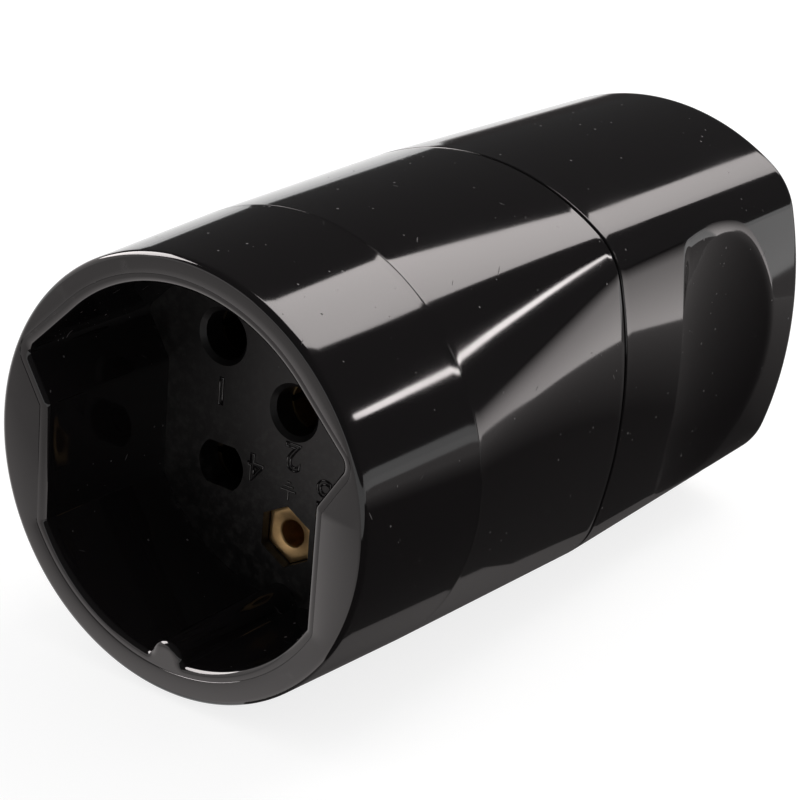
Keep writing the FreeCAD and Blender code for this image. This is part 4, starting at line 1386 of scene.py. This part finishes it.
@dataclass
class Studio:
    """The pale floor, the soft light, the dark flags that keep plastic black, and the camera."""

    fill: float = 0.64
    floor_colour: float = 0.32
    floor_glow: float = 0.8
    floor_size: float = 30.0
    lamp_distance: float = 3.0
    tent_radius: float = 6.0
    tent_grey: float = 0.06
    tent_parts: tuple[int, int] = (48, 24)
    tent_skirt: float = math.radians(3)
    card_height: float = 0.3
    pool_height: float = 0.2
    camera_place: tuple[float, float, float] = (0.145765, -0.221653, 0.126538)
    camera_azimuth: float = 34.168
    camera_elevation: float = 22.035
    camera_roll: float = 4.978
    camera_lens: float = 118.601
    sensor: float = 36.0

    def build(self) -> None:
        """Sets everything up."""
        self.add_world()
        self.add_floor()
        self.add_tent()
        for panel in [*self.lamps(), *self.flags()]:
            panel.build()
        self.add_camera()
        bpy.context.scene.view_settings.view_transform = "Standard"

    def seen(self, bench: Bench) -> NodeSocket:
        """One for rays from the camera, from a mirror-like surface or through a clear one."""
        path = bench.add("ShaderNodeLightPath")
        first = bench.maths("MAXIMUM", path.outputs["Is Camera Ray"], path.outputs["Is Glossy Ray"])
        return bench.maths("MAXIMUM", first, path.outputs["Is Transmission Ray"])

    def add_world(self) -> None:
        """A white surround that lights the set a little less than white."""
        world = bpy.data.worlds.new("pale_surround")
        bench = bench_of(world)
        back = bench.add("ShaderNodeBackground")
        back.inputs["Color"].default_value = (*WHITE, 1)
        level = bench.spread(self.seen(bench), 0.0, 1.0, self.fill, 1.0)
        bench.feed(back.inputs["Strength"], level)
        bench.output(back, "ShaderNodeOutputWorld")
        bpy.context.scene.world = world

    def add_floor(self) -> None:
        """A wide pale floor that keeps the object's shadow and still reads as nearly white."""
        material = bpy.data.materials.new("pale_floor")
        bench = bench_of(material)
        matt, shine, both = (bench.add(f"ShaderNode{kind}") for kind in
                             ("BsdfDiffuse", "Emission", "AddShader"))
        matt.inputs["Color"].default_value = (*[self.floor_colour] * 3, 1)
        level = bench.maths("MULTIPLY", self.seen(bench), self.floor_glow)
        bench.feed(shine.inputs["Strength"], level)
        bench.feed(both.inputs[0], matt.outputs[0])
        bench.feed(both.inputs[1], shine.outputs[0])
        bench.output(both)
        bm = bmesh.new()
        bmesh.ops.create_grid(bm, x_segments=1, y_segments=1, size=self.floor_size)
        stage_mesh(bm, "floor", material)

    def add_tent(self) -> None:
        """A dark tent round the set. Only reflections meet it."""
        bm = bmesh.new()
        round_parts, high_parts = self.tent_parts
        bmesh.ops.create_uvsphere(bm, u_segments=round_parts, v_segments=high_parts,
                                  radius=self.tent_radius)
        skirt = (0, 0, self.tent_radius * math.sin(self.tent_skirt))
        bmesh.ops.bisect_plane(bm, geom=bm.verts[:] + bm.edges[:] + bm.faces[:], plane_co=skirt,
                               plane_no=(0, 0, 1), clear_inner=True)
        stage_mesh(bm, "tent", glow("tent_cloth", self.tent_grey, WHITE),
                   camera=False, diffuse=False, shadow=False)

    def far(self, *places: Flat) -> tuple[Vector, ...]:
        """Corners far away in the given directions, as azimuth and elevation."""
        return tuple(direction(a, e) * self.lamp_distance for a, e in places)

    @staticmethod
    def lying(height: float, *places: Flat) -> tuple[Vector, ...]:
        """Corners of a flat card over the floor: x and distance from the rim, in millimetres."""
        return tuple(Vector((x * MM, RIM_Y + y * MM, height * MM)) for x, y in places)

    def standing(self, first: Flat, second: Flat, height: float) -> tuple[Vector, ...]:
        """Corners of an upright card on the floor between two places, in millimetres."""
        return self.lying(0.0, first, second) + self.lying(height, second, first)

    def lamps(self) -> list[Panel]:
        """The lamps, placed where the plastic reflects them."""
        softbox = self.far((169, 20), (169, 34), (166, 36), (162, 37.5), (157, 40), (153, 62),
                           (196, 62), (188, 46), (185, 40.5), (183, 37.5), (181.5, 35), (181, 20))
        strip = self.far((137, 20.4), (144, 21.6), (151, 24.8),
                         (152, 26.6), (144, 23.6), (137, 22.3))
        window = self.far((-95, 17), (-48, 17), (-48, 46), (-95, 46))
        left = self.far((-124, 1), (-22, 1), (-22, 12), (-124, 12))
        near, bend, end, height = (84, 185), (126, 208), (420, 540), 62
        low = Fade("Z", 0.0, 60 * MM)
        return [
            Panel("softbox", softbox, 3.0, lights=True, fade=Fade("Z", 1.38, 2.0, 5.8)),
            Panel("strip_lamp", strip, 15.0, lights=True),
            Panel("side_window", window, 14.0),
            Panel("left_glow", left, 1.1),
            Panel("first_glow", self.standing(near, bend, height), 2.8, lights=True, fade=low),
            Panel("second_glow", self.standing(bend, end, height), 2.8, lights=True, fade=low),
        ]

    def flags(self) -> list[Panel]:
        """The dark flags and cards, which only reflections meet: near_shade is the object's shadow
        on the floor painted onto a card, and front_light_pool a painted pool of light on the floor
        in front.
        """
        flag = self.standing((-155, 645), (-370, 541), 85)
        card = self.lying(self.card_height, (22, -60), (420, -60), (420, 540), (125, 206), (6, 143),
                          (10, 92), (18.6, 72), (19.7, 62), (19.7, 44), (22, 40))
        rear = self.lying(self.card_height, (6, 143), (83, 184), (150, 500), (-60, 600))
        wall = self.standing((150, 500), (-60, 600), 110)
        shade = self.lying(self.pool_height, (9, -2), (26, -2), (26, 88), (9, 88))
        pool = self.lying(self.pool_height, (-400, -400), (30, -400), (30, -1), (-400, -1))
        return [
            Panel("rear_flag", flag, 0.5, fade=Fade("Z", 0.0, 26 * MM, 0.05)),
            Panel("black_card", card, 0.04,
                  fade=Fade("Y", RIM_Y + 100 * MM, RIM_Y + 200 * MM, 0.4)),
            Panel("rear_card", rear, 0.22),
            Panel("rear_wall", wall, 0.12),
            Panel("near_shade", shade, 0.08, fade=Fade("X", 13 * MM, 21 * MM, 0.22)),
            # A glowing card on the floor in front, brightest next to the rim: a painted pool of
            # light that only reflections meet.
            Panel("front_light_pool", pool, 0.78, fade=Fade("Y", RIM_Y - 48 * MM, RIM_Y - 4 * MM, 1.6)),
        ]

    def add_camera(self) -> None:
        """The camera, solved from the photograph's rim, seam and recess corners."""
        toward = -direction(self.camera_azimuth, self.camera_elevation)
        right = toward.cross(Vector((0, 0, 1))).normalized()
        up = right.cross(toward)
        roll = math.radians(self.camera_roll)
        turned_right = right * math.cos(roll) + up * math.sin(roll)
        turned_up = up * math.cos(roll) - right * math.sin(roll)
        axes = Matrix((turned_right, turned_up, -toward)).transposed().to_4x4()
        lens = bpy.data.cameras.new("photo_camera")
        lens.lens, lens.sensor_width = self.camera_lens, self.sensor
        camera = bpy.data.objects.new("photo_camera", lens)
        camera.matrix_world = Matrix.Translation(self.camera_place) @ axes
        bpy.context.collection.objects.link(camera)
        bpy.context.scene.camera = camera


def main() -> None:
    """Builds the dressed connector and its studio."""
    logging.basicConfig(level=logging.INFO, format="%(name)s %(message)s", stream=sys.stdout)
    effects = Effects()
    gloss = GlossPlastic().make("gloss_black_plastic", effects)
    satin = SatinPlastic().make("satin_black_plastic", effects)
    hexagon_middle = ON_AXIS @ Vector((0, EarthContact.marks_origin, EarthContact.axis_z))
    hexagon = BRASS.make("hexagon_brass", effects, hexagon_middle, Lathe.ALONG)
    Collar(gloss).build()
    MiddleShell(gloss).build()
    RearGrip(gloss, Scoop()).build()
    EarthContact(hexagon).build()
    PoleMarks(gloss).build()
    CarriedNodes(effects, satin).dress()
    Studio().build()


if __name__ == "__main__":
    main()
